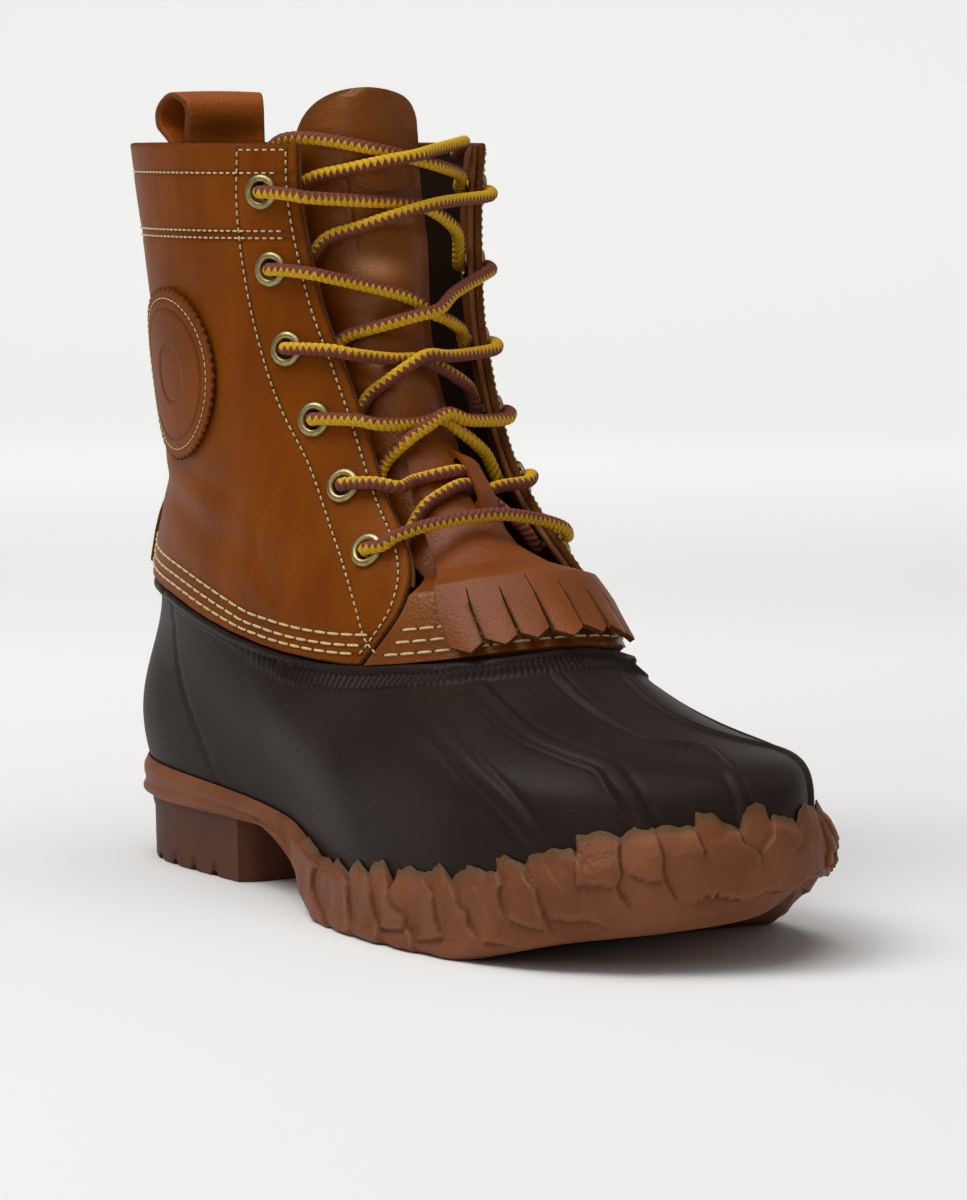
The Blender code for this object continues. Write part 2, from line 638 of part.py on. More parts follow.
# Plain round patch on the lateral leg.
angle = np.arange(24) * np.pi / 12
ring = np.array([[0.55], [1.0]]) * PATCH_RADIUS
across = (ring * np.cos(angle)).ravel()
rise = (ring * np.sin(angle)).ravel()
patch_turn, patch_level = around_point(83.0, 3.76, np.append(across, 0.0), np.append(rise, 0.0))
height = np.array([outside, outside + 1.3])
points = np.concatenate([layer(patch_turn, patch_level, np.full(49, h)) for h in height])
faces = []
for low in (0, 49):
    faces += [(low + k, low + (k + 1) % 24, low + 48) for k in range(24)]
    faces += [(low + k, low + (k + 1) % 24, low + 24 + (k + 1) % 24, low + 24 + k) for k in range(24)]
faces += [(24 + k, 24 + (k + 1) % 24, 73 + (k + 1) % 24, 73 + k) for k in range(24)]
add("badge_patch", points, faces, TAN, 0.6)


# One run of lace given by turn from the front line, level and height over the skin.
def lace_run(rows, count):
    rows = np.asarray(rows, float)
    return smooth_path(layer(180 + rows[:, 0], rows[:, 1], rows[:, 2]), count)


UNDER = LEATHER_GAP - FACING_WALL - 0.5 - LACE_RADIUS
OVER = LEATHER_GAP + LEATHER_WALL + 0.5 + LACE_RADIUS
CROSS = 1.8 * LACE_RADIUS     # height of the second run over the first


# Height of a lace that lies on the tongue, or on the kiltie where that covers it.
def rest(turn, level):
    covered = level < KILTIE_TOP + 0.15 and abs(turn - KILTIE_LEAN) < KILTIE[0, 1]
    cover = KILTIE_GAP + KILTIE_WALL + 0.5 if covered else 0.0
    return max(tongue_height(180 + turn, level) + cover + 1.0 + LACE_RADIUS, UNDER)


# Where the two runs between neighbouring eyelets meet: share of the rise, and turn from the front line.
LACING = np.array([
    # share turn
    [0.79, 7],
    [0.50, 7],
    [0.92, -2],
    [1.10, 1],
    [1.05, 2],
], float)

# Two runs of each crossing, joined where they touch.
for k, (share, meet) in enumerate(LACING):
    high_level, high_turn = EYELETS[k]
    low_level, low_turn = EYELETS[k + 1]
    step = high_level - low_level
    a, b, c, d = (low_level + step * part for part in (0.45 * share, 0.85 * share, share, 0.5 * share + 0.45))
    runs = []
    for sign, lift in ((-1, CROSS), (1, 0.0)):
        near = throat_half(low_level, sign)
        far = throat_half(high_level, -sign)
        start = sign * (near - 4)
        early = start + (meet - start) * 0.35
        before = start + (meet - start) * 0.7
        after = meet - sign * 13
        runs.append(lace_run([
            [sign * (near + 5), low_level + 0.1 * step, UNDER],
            [start, a, UNDER],
            [early, (a + b) / 2, rest(early, (a + b) / 2) + 0.2 * lift],
            [before, b, rest(before, b) + 0.7 * lift],
            [meet, c, rest(meet, c) + lift],
            [after, d, rest(after, d) + 0.8 * lift],
            [-sign * (far - 7), low_level + 0.92 * step, OVER - 1.0],
            [-sign * (far + 1), low_level + 0.96 * step, OVER + 0.3],
            [-sign * (far + high_turn - throat_half(high_level) - 7), low_level + 0.99 * step, OVER],
        ], 12))
    first_points, first_faces = bar(runs[0], LACE_RADIUS)
    name = "lace_cross_%d" % (k + 1)
    crossing = add(name, first_points, first_faces, CORD, 0.7)
    second_points, second_faces = bar(runs[1], LACE_RADIUS)
    tool(name + "_second", second_points, second_faces, crossing, "UNION")

level, half_turn = EYELETS[5]
edge_turn = throat_half(level)
medial_edge = throat_half(level, 1)
points, faces = bar(lace_run([
    [-(half_turn - 7), level, OVER],
    [-(edge_turn + 1), level + 0.04, OVER + 0.2],
    [-14, level + 0.2, OVER - 3.2],
    [14, level + 0.2, OVER - 3.2],
    [medial_edge + 1, level + 0.04, OVER + 0.2],
    [half_turn + medial_edge - edge_turn - 7, level, OVER],
], 12), LACE_RADIUS)
add("lace_bar", points, faces, CORD, 0.7)

level, half_turn = EYELETS[0]
edge_turn = throat_half(level)
medial_edge = throat_half(level, 1)
first = lace_run([
    [-(edge_turn + 5), level + 0.05, UNDER],
    [-(edge_turn - 4), level + 0.2, UNDER],
    [-24, 5.62, rest(-24, 5.62)],
    [-12, 5.72, rest(-12, 5.72)],
    [0, 5.82, rest(0, 5.82)],
    [medial_edge - 6, 6.0, UNDER],
    [medial_edge + 6, 6.06, UNDER],
], 12)
second = lace_run([
    [medial_edge + 5, level + 0.05, UNDER - 0.3],
    [medial_edge - 4, level + 0.2, UNDER - 0.3],
    [0, 5.82, rest(0, 5.82) + CROSS],
    [-16, 6.0, rest(-16, 6.0) + 0.8],
    [-(edge_turn - 4), 6.08, UNDER],
    [-(edge_turn + 8), 6.14, UNDER],
], 12)
points, faces = bar(first, LACE_RADIUS)
top_cross = add("lace_top", points, faces, CORD, 0.7)
points, faces = bar(second, LACE_RADIUS)
tool("lace_top_second", points, faces, top_cross, "UNION")
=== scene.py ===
import bpy
import numpy as np
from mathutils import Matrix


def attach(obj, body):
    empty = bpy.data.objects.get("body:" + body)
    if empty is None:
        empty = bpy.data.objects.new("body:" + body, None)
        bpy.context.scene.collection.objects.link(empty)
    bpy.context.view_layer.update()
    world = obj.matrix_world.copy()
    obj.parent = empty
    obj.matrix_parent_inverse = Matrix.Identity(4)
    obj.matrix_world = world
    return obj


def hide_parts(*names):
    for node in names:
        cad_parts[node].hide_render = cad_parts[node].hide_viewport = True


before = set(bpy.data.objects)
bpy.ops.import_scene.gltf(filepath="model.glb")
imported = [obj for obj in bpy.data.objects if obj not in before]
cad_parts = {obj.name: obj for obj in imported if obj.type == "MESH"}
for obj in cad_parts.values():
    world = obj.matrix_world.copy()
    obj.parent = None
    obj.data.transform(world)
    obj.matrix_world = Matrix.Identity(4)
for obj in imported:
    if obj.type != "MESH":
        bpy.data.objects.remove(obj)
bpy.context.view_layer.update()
print("frame:", len(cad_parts), "solids")

# The boot's skin in millimetres: turn 0 at the heel, 90 lateral, 180 at the toe, 270 medial;
# level 0 is the rubber's lower edge, 1 the seam to the leather, 6 the collar
last = {
    "centre": np.array([-1.61, 1.83, 0.0]),
    # turn, x, y, z, rise, bulge, reach, slope
    "foot": np.array([
        [0, 0, 147, 28, 26, 8, 22, 96], [40, -33, 121, 27, 26, 9, 22, 94],
        [88, -39, 30, 21, 26, 6, 22, 84], [118, -53, -48, 10, 28, 4, 24, 48],
        [150, -40, -120, 17, 33, 3, 54, 25], [180, 7, -144, 25, 46, 6, 72, 32],
        [210, 43, -113, 21, 48, 5, 56, 45], [242, 50, -55, 12, 29, 4, 30, 50],
        [272, 36, 30, 23, 26, 6, 22, 84], [320, 33, 121, 27, 26, 9, 22, 94]], float),
    # back, front, lateral, medial, height at back, side and front
    "leg": np.array([
        [148, -60, 44, 47, 91, 70, 77], [143.5, -46, 43, 44, 104, 84, 92],
        [132.6, -6, 41, 37.2, 121, 119, 121], [134, 14, 43, 36.2, 158, 158, 158],
        [138.8, 22, 45.2, 39.8, 193, 193, 193], [143.2, 24, 46.8, 43.5, 216, 216, 216]], float),
    "roundness": 0.95,
    # level, half turn of the open throat
    "throat": np.array([
        [1.0, 58], [1.34, 54], [1.76, 48], [2.04, 42], [2.26, 37], [2.45, 34], [2.84, 32],
        [3.38, 31], [3.82, 33], [4.36, 37], [4.8, 39], [6.7, 38]], float),
    "medialOpen": 8.0,
    # degrees from the heel, rise of the leather's lower edge in levels
    "seamRise": np.array([
        [0, 0], [30, .03], [40, .12], [50, .32], [60, .5], [70, .56], [80, .52], [90, .4], [100, .25],
        [108, .15],
        [116, .07], [124, .02], [132, 0], [180, 0]], float),
}
up = np.array([0.0, 0.0, 1.0])
flat = np.array([1.0, 1.0, 0.0])


# Smooth 0 to 1 ramp: 3x^2 - 2x^3 of the share between two limits
def ramp(value, low, high):
    x = np.clip((value - low) / (high - low), 0, 1)
    return x * x * (3 - 2 * x)


# Hill of height 1: exp of minus the squared distance over the squared width
def hill(distance, width):
    return np.exp(-(distance / width) ** 2)


# Vectors of length 1: each over its own length
def unit(vectors):
    return vectors / np.linalg.norm(vectors, axis=-1)[..., None]


# Length from the first row of points on: running sum of the steps between rows
def lengthAlong(points):
    step = np.linalg.norm(np.diff(points, axis=0), axis=-1)
    return np.concatenate([np.zeros((1,) + step.shape[1:]), np.cumsum(step, 0)])


# Rows of points read at places of a running measure, straight between them
def readAlong(at, run, rows):
    return np.stack([np.interp(at, run, rows[:, k]) for k in range(3)], -1)


# Thickness share near a sheet's edge: a quarter circle from the least share up to 1
def edgeRound(edge, radius, least):
    return least + (1 - least) * np.sqrt(np.clip(1 - (1 - np.clip(edge / radius, 0, 1)) ** 2, 0, 1))


# Directions around a circle: cosine times the first plus sine times the second
def circleOf(sides, first, second):
    angle = (np.arange(sides) * 2 * np.pi / sides)[:, None]
    return np.cos(angle) * first[..., None, :] + np.sin(angle) * second[..., None, :]


# Cubic between two values with a given slope at each
def slopeCubic(here, there, lead, trail, u):
    value = (1 + 2 * u) * (1 - u) ** 2 * here + u * (1 - u) ** 2 * lead
    return value + u ** 2 * (3 - 2 * u) * there + u ** 2 * (u - 1) * trail


# Cubic between two points, its slopes taken from the points before and after
def chainCubic(before, here, there, after, u):
    value = 2 * here + (there - before) * u + (2 * before - 5 * here + 4 * there - after) * u ** 2
    return 0.5 * (value + (3 * here - before - 3 * there + after) * u ** 3)


# Closed cubic through table rows set at turns, slopes from each row's two neighbours
def loopSpline(turns, rows, at):
    count = len(turns)
    at = np.asarray(at, float) % 360
    i = np.searchsorted(turns, at, side="right") - 1
    before, stop, after = (turns[(i + k) % count] + 360 * ((i + k) // count) for k in (-1, 1, 2))
    span = (stop - turns[i])[:, None]
    here, there = rows[i], rows[(i + 1) % count]
    lead = (there - rows[(i - 1) % count]) / (stop - before)[:, None] * span
    trail = (rows[(i + 2) % count] - here) / (after - turns[i])[:, None] * span
    return slopeCubic(here, there, lead, trail, (at - turns[i])[:, None] / span)


# Open cubic through a table's rows, flat beyond its ends; column 0 is the place, the rest the values
def tableCurve(table, at):
    table = np.asarray(table, float)
    at = np.clip(np.asarray(at, float), table[0, 0], table[-1, 0])
    slope = np.gradient(table[:, 1:], table[:, 0], axis=0)
    i = np.clip(np.searchsorted(table[:, 0], at, side="right") - 1, 0, len(table) - 2)
    span = (table[i + 1, 0] - table[i, 0])[..., None]
    u = (at - table[i, 0])[..., None] / span
    value = slopeCubic(table[i, 1:], table[i + 1, 1:], slope[i] * span, slope[i + 1] * span, u)
    return value[..., 0] if table.shape[1] == 2 else value


# Cubic through whole rows of points (first axis), read at places counted in rows
def rowCurve(rows, at):
    at = np.asarray(at, float)
    top = len(rows) - 1
    i = np.clip(at.astype(int), 0, top - 1)
    shape = (-1,) + (1,) * (rows.ndim - 1)
    here, there = rows[i], rows[i + 1]
    before = np.where((i > 0).reshape(shape), rows[np.maximum(i - 1, 0)], 2 * here - there)
    after = np.where((i < top - 1).reshape(shape), rows[np.minimum(i + 2, top)], 2 * there - here)
    return chainCubic(before, here, there, after, (at - i).reshape(shape))


# Oval leg sections: half width times sine, half length times cosine, both to the roundness power
def legRings(turn):
    angle = np.radians(turn)[None, :]
    c, s = np.cos(angle), np.sin(angle)
    back, front, lateral, medial, zb, zs, zf = (last["leg"][:, k][:, None] for k in range(7))
    x = -np.where(s > 0, lateral, medial) * np.sign(s) * np.abs(s) ** last["roundness"]
    y = (back + front) / 2 + (back - front) / 2 * np.sign(c) * np.abs(c) ** last["roundness"]
    z = zs + (zb - zf) / 2 * c + ((zb + zf) / 2 - zs) * c * c
    return np.stack([x, y, z], -1)


# Level direction square to the foot's outline, pointing out
def outwardAt(turn):
    ahead, behind = (loopSpline(last["foot"][:, 0], last["foot"][:, 1:3], turn + k) for k in (0.5, -0.5))
    x, y = (ahead - behind).T
    return unit(np.stack([y, -x, 0 * x], -1))


# Skin point: a Bezier curve from the foot outline to the seam, then a cubic through the leg sections
def skinAt(turn, level):
    turn, level = np.broadcast_arrays(np.asarray(turn, float), np.asarray(level, float))
    shape = turn.shape
    turn, level = turn.ravel(), level.ravel()
    rings = legRings(turn)
    foot = loopSpline(last["foot"][:, 0], last["foot"][:, 1:], turn)
    base, out = foot[:, :3], outwardAt(turn)
    rise, bulge, reach = (foot[:, k][:, None] for k in (3, 4, 5))
    slope = np.radians(foot[:, 6])[:, None]
    lowHandle = base + out * bulge + up * rise
    topHandle = rings[0] + reach * (out * np.cos(slope) - up * np.sin(slope))
    u = np.clip(level, 0, 1)[:, None]
    low = (1 - u) ** 3 * base + 3 * u * (1 - u) ** 2 * lowHandle
    low = low + 3 * u ** 2 * (1 - u) * topHandle + u ** 3 * rings[0]
    top = len(rings) - 1
    leg = np.clip(level - 1, 0, top)
    i = np.minimum(leg.astype(int), top - 1)
    n = np.arange(len(turn))
    here, there = rings[i, n], rings[i + 1, n]
    before = np.where((i > 0)[:, None], rings[np.maximum(i - 1, 0), n], 2 * here - there)
    after = np.where((i < top - 1)[:, None], rings[np.minimum(i + 2, top), n], 2 * there - here)
    high = chainCubic(before, here, there, after, (leg - i)[:, None])
    high = high + np.maximum(level - 1 - top, 0)[:, None] * (rings[-1] - rings[-2])
    return np.where((level > 1)[:, None], high, low).reshape(shape + (3,))


# Step on the skin for one degree of turn
def degreeStep(turn, level):
    return skinAt(turn + 0.5, level) - skinAt(turn - 0.5, level)


# Length of that step in mm
def degreeWidth(turn, level):
    return np.linalg.norm(degreeStep(turn, level), axis=-1)


# Skin normal: the step around crossed with the step upwards
def normalAt(turn, level):
    turn, level = np.asarray(turn, float), np.asarray(level, float)
    along = skinAt(turn, level + 0.03) - skinAt(turn, np.maximum(level - 0.03, 0))
    return unit(np.cross(degreeStep(turn, level), along))


# Skin moved along its normal by an offset
def layerAt(turn, level, offset):
    turn, level, offset = np.broadcast_arrays(turn, level, offset)
    return skinAt(turn, level) + normalAt(turn, level) * offset[..., None]


# Half turn of the throat at a level; the medial side (sign above 0) opens further up the leg
def throatAt(level, sign=-1):
    level = np.asarray(level, float)
    more = last["medialOpen"] * (np.asarray(sign) > 0) * np.clip((level - 2.4) / 0.8, 0, 1)
    return tableCurve(last["throat"], level) + more


# Rise of the leather's lower edge over level 1 by the turn away from the heel
def seamRise(turn):
    return tableCurve(last["seamRise"], np.abs((turn + 180) % 360 - 180))


# Turns at equal steps along one level, the steps shortened where the weight is high
def evenTurns(level, count, start, stop, weight):
    fine = np.linspace(start, stop, 1441)
    step = np.linalg.norm(np.diff(skinAt(fine, level), axis=0), axis=1)
    length = np.r_[0, np.cumsum(step * weight((fine[1:] + fine[:-1]) / 2))]
    return np.interp(np.linspace(0, length[-1], count), length, fine)


# Places from 0 to a length in mm: close together at both ends, even between
def edgedSteps(count, length, close=(0.0, 0.3, 0.7, 1.2, 1.9, 2.8)):
    close = np.array(close)
    middle = np.linspace(close[-1], length - close[-1], count - 2 * len(close) + 2)
    return np.concatenate([close[:-1], middle, length - close[-2::-1]])


# Distance from grid points to a path given by close points: the smallest of all
def pathDistance(points, path):
    shape = points.shape[:-1]
    points = points.reshape(-1, 3)
    square = (points ** 2).sum(1)[:, None] + (path ** 2).sum(1)[None, :] - 2 * points @ path.T
    return np.sqrt(np.maximum(square.min(1), 0)).reshape(shape)


# Quads between the neighbouring rows and columns of an index grid
def quadsOf(cell):
    return np.stack([cell[:-1, :-1], cell[:-1, 1:], cell[1:, 1:], cell[1:, :-1]], -1).reshape(-1, 4)


# Quads of a grid whose columns close, and its rows too if asked
def ringFaces(rows, columns, closeRows=False):
    cell = np.arange(rows * columns).reshape(rows, columns)
    cell = np.c_[cell, cell[:, :1]]
    return quadsOf(np.r_[cell, cell[:1]] if closeRows else cell)


# Closed sheet of an outer and an inner grid: both faces of each kept cell, and a wall at each open side
def sheetFaces(rows, columns, keep=None):
    keep = np.ones((rows - 1, columns - 1), bool) if keep is None else keep
    cell = np.arange(rows * columns).reshape(rows, columns)
    corners = np.stack([cell[:-1, :-1], cell[:-1, 1:], cell[1:, 1:], cell[1:, :-1]], -1)
    wide = np.pad(keep, 1)
    beside = [wide[:-2, 1:-1], wide[1:-1, 2:], wide[2:, 1:-1], wide[1:-1, :-2]]
    low = rows * columns
    faces = [corners[keep], corners[keep][:, ::-1] + low]
    for k in range(4):
        border = corners[keep & ~beside[k]]
        a, b = border[:, k], border[:, (k + 1) % 4]
        faces.append(np.stack([b, a, a + low, b + low], -1))
    return np.concatenate(faces)


# One piece: point and face arrays put into a mesh in metres, riding on the boot
def makePiece(name, points, faces, finish, stands=(), loopUv=None, fields=None, crease=None):
    faces = faces if isinstance(faces, list) else [faces]
    corners = np.concatenate([f.ravel() for f in faces])
    used, corners = np.unique(corners, return_inverse=True)
    sizes = np.concatenate([np.full(len(f), f.shape[1]) for f in faces])
    places = (points.reshape(-1, 3)[used] - last["centre"]) * 0.001
    mesh = bpy.data.meshes.new(name)
    mesh.vertices.add(len(places))
    mesh.vertices.foreach_set("co", places.ravel())
    mesh.loops.add(len(corners))
    mesh.loops.foreach_set("vertex_index", corners)
    mesh.polygons.add(len(sizes))
    mesh.polygons.foreach_set("loop_start", np.cumsum(sizes) - sizes)
    mesh.polygons.foreach_set("use_smooth", np.ones(len(sizes), bool))
    if loopUv is not None:
        mesh.uv_layers.new(name="run").data.foreach_set("uv", loopUv.ravel())
    for key, values in (fields or {}).items():
        mesh.attributes.new(key, "FLOAT", "POINT").data.foreach_set("value", np.ravel(values)[used])
    mesh.update(calc_edges=True)
    mesh.validate()
    if crease:
        mesh.set_sharp_from_angle(angle=np.radians(crease))
    mesh.materials.append(finish)
    item = bpy.data.objects.new(name, mesh)
    bpy.context.scene.collection.objects.link(item)
    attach(item, "root")
    if stands:
        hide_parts(*stands)
    print(name, len(places), "points")


# A socket whose operators add Math nodes; node() adds any other kind
class Wire:
    def __init__(self, tree, socket=None):
        self.tree = tree
        self.socket = socket

    # Type, settings (a ramp's stops among them), then values or links of the inputs
    def node(self, kind, settings=None, inputs=None, out=0):
        made = self.tree.nodes.new(kind)
        for key, value in (settings or {}).items():
            if key == "stops":
                places = made.color_ramp.elements
                while len(places) < len(value):
                    places.new(1.0)
                for stop, (place, colour) in zip(places, value):
                    stop.position, stop.color = place, colour
            else:
                setattr(made, key, value)
        for key, value in (inputs or {}).items():
            if isinstance(value, Wire):
                self.tree.links.new(value.socket, made.inputs[key])
            else:
                made.inputs[key].default_value = value
        return Wire(self.tree, made.outputs[out])

    # One Math node on the given values
    def math(self, operation, *values):
        return self.node("ShaderNodeMath", {"operation": operation}, dict(enumerate(values)))

    def __add__(self, other):
        return self.math("ADD", self, other)

    def __radd__(self, other):
        return self.math("ADD", other, self)

    def __sub__(self, other):
        return self.math("SUBTRACT", self, other)

    def __rsub__(self, other):
        return self.math("SUBTRACT", other, self)

    def __mul__(self, other):
        return self.math("MULTIPLY", self, other)

    def __rmul__(self, other):
        return self.math("MULTIPLY", other, self)

    def __truediv__(self, other):
        return self.math("DIVIDE", self, other)

    def __pow__(self, other):
        return self.math("POWER", self, other)

    # 0 to 1 between two values, smooth
    def between(self, low, high):
        settings = {"interpolation_type": "SMOOTHSTEP"}
        return self.node("ShaderNodeMapRange", settings, {"Value": self, "From Min": low, "From Max": high})

    # This colour or the other, by a factor
    def mixed(self, factor, colour):
        return self.blend(factor, self, colour)

    # First colour at factor 0, second at 1
    def blend(self, factor, first, second):
        return self.node("ShaderNodeMix", {"data_type": "RGBA"}, {0: factor, 6: first, 7: second}, 2)

    # Place on the piece in metres
    def place(self):
        return self.node("ShaderNodeTexCoord", out="Object")

    # Value stored on the mesh's points, 0 where a piece has none
    def field(self, name):
        return self.node("ShaderNodeAttribute", {"attribute_name": name}, out="Fac")

    # Soft noise, 0 to 1
    def noise(self, scale, detail=2.0, rough=0.5, vector=None):
        inputs = {"Vector": vector or self.place(), "Scale": scale, "Detail": detail, "Roughness": rough}
        return self.node("ShaderNodeTexNoise", {}, inputs)

    # Distance to the nearest of scattered points
    def cells(self, scale):
        return self.node("ShaderNodeTexVoronoi", {"feature": "F1"}, {"Vector": self.place(), "Scale": scale})

    # Normal tilted by the slope of a height
    def bump(self, height, strength, distance):
        inputs = {"Height": height, "Strength": strength, "Distance": distance}
        return self.node("ShaderNodeBump", {}, inputs)


# Material: fixed values on the shader's own sockets, and what varies from a paint function
def finishOf(name, fixed, paint):
    material = bpy.data.materials.new(name)
    material.use_nodes = True
    tree = material.node_tree
    shader = tree.nodes["Principled BSDF"]
    for key, value in fixed.items():
        shader.inputs[key].default_value = value
    for key, value in paint(Wire(tree)).items():
        tree.links.new(value.socket, shader.inputs[key])
    return material


# Fixed shader values: strength and tint of the highlight
def gloss(level, tint=(1.0, 1.0, 1.0)):
    return {"Specular IOR Level": level, "Specular Tint": tint + (1,)}


hide = {
    "deep": (0.125, 0.026, 0.0012, 1), "mid": (0.178, 0.04, 0.0018, 1), "light": (0.245, 0.064, 0.004, 1),
    "raw": (0.16, 0.058, 0.014, 1), "fibre": (0.055, 0.019, 0.006, 1), "burnt": (0.05, 0.013, 0.003, 1),
    "lining": (0.014, 0.007, 0.004, 1), "worn": (0.42, 0.19, 0.075, 1),
    "cloud": 16.0, "streak": 70.0, "fleck": 190.0, "grain": 950.0, "fibres": 1300.0, "pores": 2600.0,
}


# Leather: slow clouds and upright streaks of three browns, a cell grain and pores, fibres at cut edges,
# a dark lining darkened further as painted shade, dark pressed lines and paler spots painted as highlights
def paintLeather(wire, shade=1.0, dull=0.36):
    tint = lambda colour: tuple(c * shade for c in colour[:3]) + (1,)
    upright = wire.node("ShaderNodeMapping", {}, {"Vector": wire.place(), "Scale": (1.0, 1.0, 0.3)})
    cloud = wire.noise(hide["cloud"], 4.0, 0.55)
    streak = wire.noise(hide["streak"], 4.0, 0.6, upright)
    fleck = wire.noise(hide["fleck"], 3.0, 0.6)
    grain = wire.cells(hide["grain"])
    pores = wire.noise(hide["pores"], 2.0, 0.6)
    fibre = wire.noise(hide["fibres"], 4.0, 0.75)
    tone = (cloud * 0.55 + streak * 0.45).between(0.36, 0.64)
    colour = wire.blend(tone, tint(hide["deep"]), tint(hide["light"]))
    colour = wire.blend(0.5, colour, tint(hide["mid"]))
    colour = colour.mixed(fleck.between(0.55, 0.8) * 0.28, tint(hide["deep"]))
    # paler spots on the tongue's bulges: painted highlight
    colour = colour.mixed(wire.field("worn") * 0.6, hide["worn"])
    colour = colour.mixed(wire.field("pressed").between(0.1, 1.0) * 0.5, tint(hide["burnt"]))
    # the inner faces take the dark lining colour, kept darker still as painted shade
    colour = colour.mixed(wire.field("lining"), hide["lining"])
    colour = colour.mixed(wire.field("cut").between(0.2, 0.9) * 0.85,
                          wire.blend(fibre.between(0.35, 0.65), hide["fibre"], hide["raw"]))
    rough = dull + cloud * 0.14 + grain * 0.05 + wire.field("cut") * 0.35
    height = grain * 0.5 + pores * 0.35 + cloud * 0.6 + wire.field("cut") * fibre * 1.6
    return {"Base Color": colour, "Roughness": rough, "Normal": wire.bump(height, 0.36, 0.0006)}


leather = finishOf("cognac_leather", gloss(0.09, (1.0, 0.72, 0.4)), paintLeather)
tongueLeather = finishOf("tongue_leather", gloss(0.45, (1.0, 0.78, 0.52)),
                         lambda wire: paintLeather(wire, 0.98, 0.29))
# loop leather painted 1.95 times paler: painted light on a face the lamps leave in shade
litLoopLeather = finishOf("lit_loop_leather", gloss(0.3, (1.0, 0.86, 0.66)), lambda wire: paintLeather(wire, 1.95))
fringeLeather = finishOf("fringe_leather", gloss(0.25), lambda wire: paintLeather(wire, 1.15))


# Dark rubber: near-black brown, fine pebble grain, slow sheen changes, painted shade in the gaps between the
# band's ribs
def paintRubber(wire):
    cloud = wire.noise(22.0, 3.0)
    grain = wire.cells(1500.0)
    dust = wire.noise(420.0, 3.0, 0.65)
    colour = wire.blend(cloud.between(0.35, 0.7), (0.0175, 0.0112, 0.0089, 1), (0.025, 0.0166, 0.0136, 1))
    colour = colour.mixed(dust.between(0.62, 0.85) * 0.35, (0.033, 0.025, 0.021, 1))
    rough = 0.36 + cloud * 0.1 + dust * 0.08
    # painted shade in the gaps between the band's ribs
    colour = colour.mixed(wire.field("comb").between(0.2, 1.0) * 0.5, (0.006, 0.005, 0.0045, 1))
    return {"Base Color": colour, "Roughness": rough, "Normal": wire.bump(grain + dust * 0.4, 0.26, 0.0006)}


wetCoat = {"Coat Weight": 0.115, "Coat Roughness": 0.3, "Coat IOR": 1.4}
rubber = finishOf("brown_rubber", {**gloss(0.03, (1.0, 0.86, 0.76)), **wetCoat}, paintRubber)


# Gum: red-brown with painted shade in its grooves and painted highlight on ridges; paler, greener where it
# thins at the top edge
def paintGum(wire):
    cloud = wire.noise(30.0, 4.0, 0.6)
    fine = wire.noise(900.0, 3.0, 0.6)
    pebble = wire.cells(620.0)
    colour = wire.blend(cloud.between(0.3, 0.7), (0.155, 0.05, 0.02, 1), (0.215, 0.076, 0.033, 1))
    # painted shade in the grooves, painted highlight on the ridges
    colour = colour.mixed(wire.field("groove").between(0.1, 1.0) * 0.6, (0.06, 0.02, 0.009, 1))
    colour = colour.mixed(wire.field("ridge").between(0.1, 1.0) * 0.4, (0.25, 0.1, 0.052, 1))
    colour = colour.mixed(wire.field("thin").between(0.05, 1.0) * 0.75, (0.098, 0.062, 0.026, 1))
    rough = 0.44 + cloud * 0.16
    height = fine * 0.5 + pebble * wire.field("pebble") * 2.2
    return {"Base Color": colour, "Roughness": rough, "Normal": wire.bump(height, 0.3, 0.0006)}


gumFinish = finishOf("gum_rubber", gloss(0.16, (1.0, 0.85, 0.75)), paintGum)


# Heel rubber: darker red-brown in slow patches, nearly black painted shade in the grooves
def paintHeel(wire):
    cloud = wire.noise(40.0, 4.0, 0.6)
    fine = wire.noise(700.0, 3.0, 0.6)
    colour = wire.blend(cloud.between(0.3, 0.7), (0.075, 0.026, 0.0145, 1), (0.108, 0.039, 0.022, 1))
    colour = colour.mixed(wire.field("groove").between(0.1, 1.0) * 0.7, (0.03, 0.01, 0.006, 1))
    return {"Base Color": colour, "Roughness": 0.46 + cloud * 0.16, "Normal": wire.bump(fine, 0.25, 0.0005)}


heelFinish = finishOf("heel_rubber", gloss(0.12, (1.0, 0.85, 0.75)), paintHeel)


# Antique brass: warm metal with brown tarnish in slow patches
def paintBrass(wire):
    patch = wire.noise(520.0, 4.0, 0.6)
    colour = wire.blend(patch.between(0.4, 0.75), (0.40, 0.32, 0.145, 1), (0.22, 0.165, 0.07, 1))
    return {"Base Color": colour, "Roughness": 0.26 + patch * 0.25, "Normal": wire.bump(patch, 0.08, 0.0004)}


brass = finishOf("antique_brass", {"Metallic": 0.92}, paintBrass)


# Sewing thread: pale straw with a fine twist
def paintThread(wire):
    twist = wire.noise(1900.0, 2.0)
    colour = wire.blend(twist.between(0.3, 0.7), (0.50, 0.35, 0.13, 1), (0.72, 0.57, 0.29, 1))
    return {"Base Color": colour, "Roughness": 0.62 + twist * 0.15}


thread = finishOf("straw_thread", {}, paintThread)


# Needle hole: nearly black painted shade in the hide
def paintHole(wire):
    speck = wire.noise(1500.0)
    return {"Base Color": wire.blend(speck, (0.03, 0.011, 0.004, 1), (0.06, 0.02, 0.007, 1)),
            "Roughness": 0.8 + speck * 0.1}


holeFinish = finishOf("needle_hole", {}, paintHole)


# Cord: radius and length of one zigzag in mm, swing of the parting and slant of the ridges in turns
cord = {"radius": 1.85, "zigzag": 1.9, "swing": 0.085, "slant": 1.4}
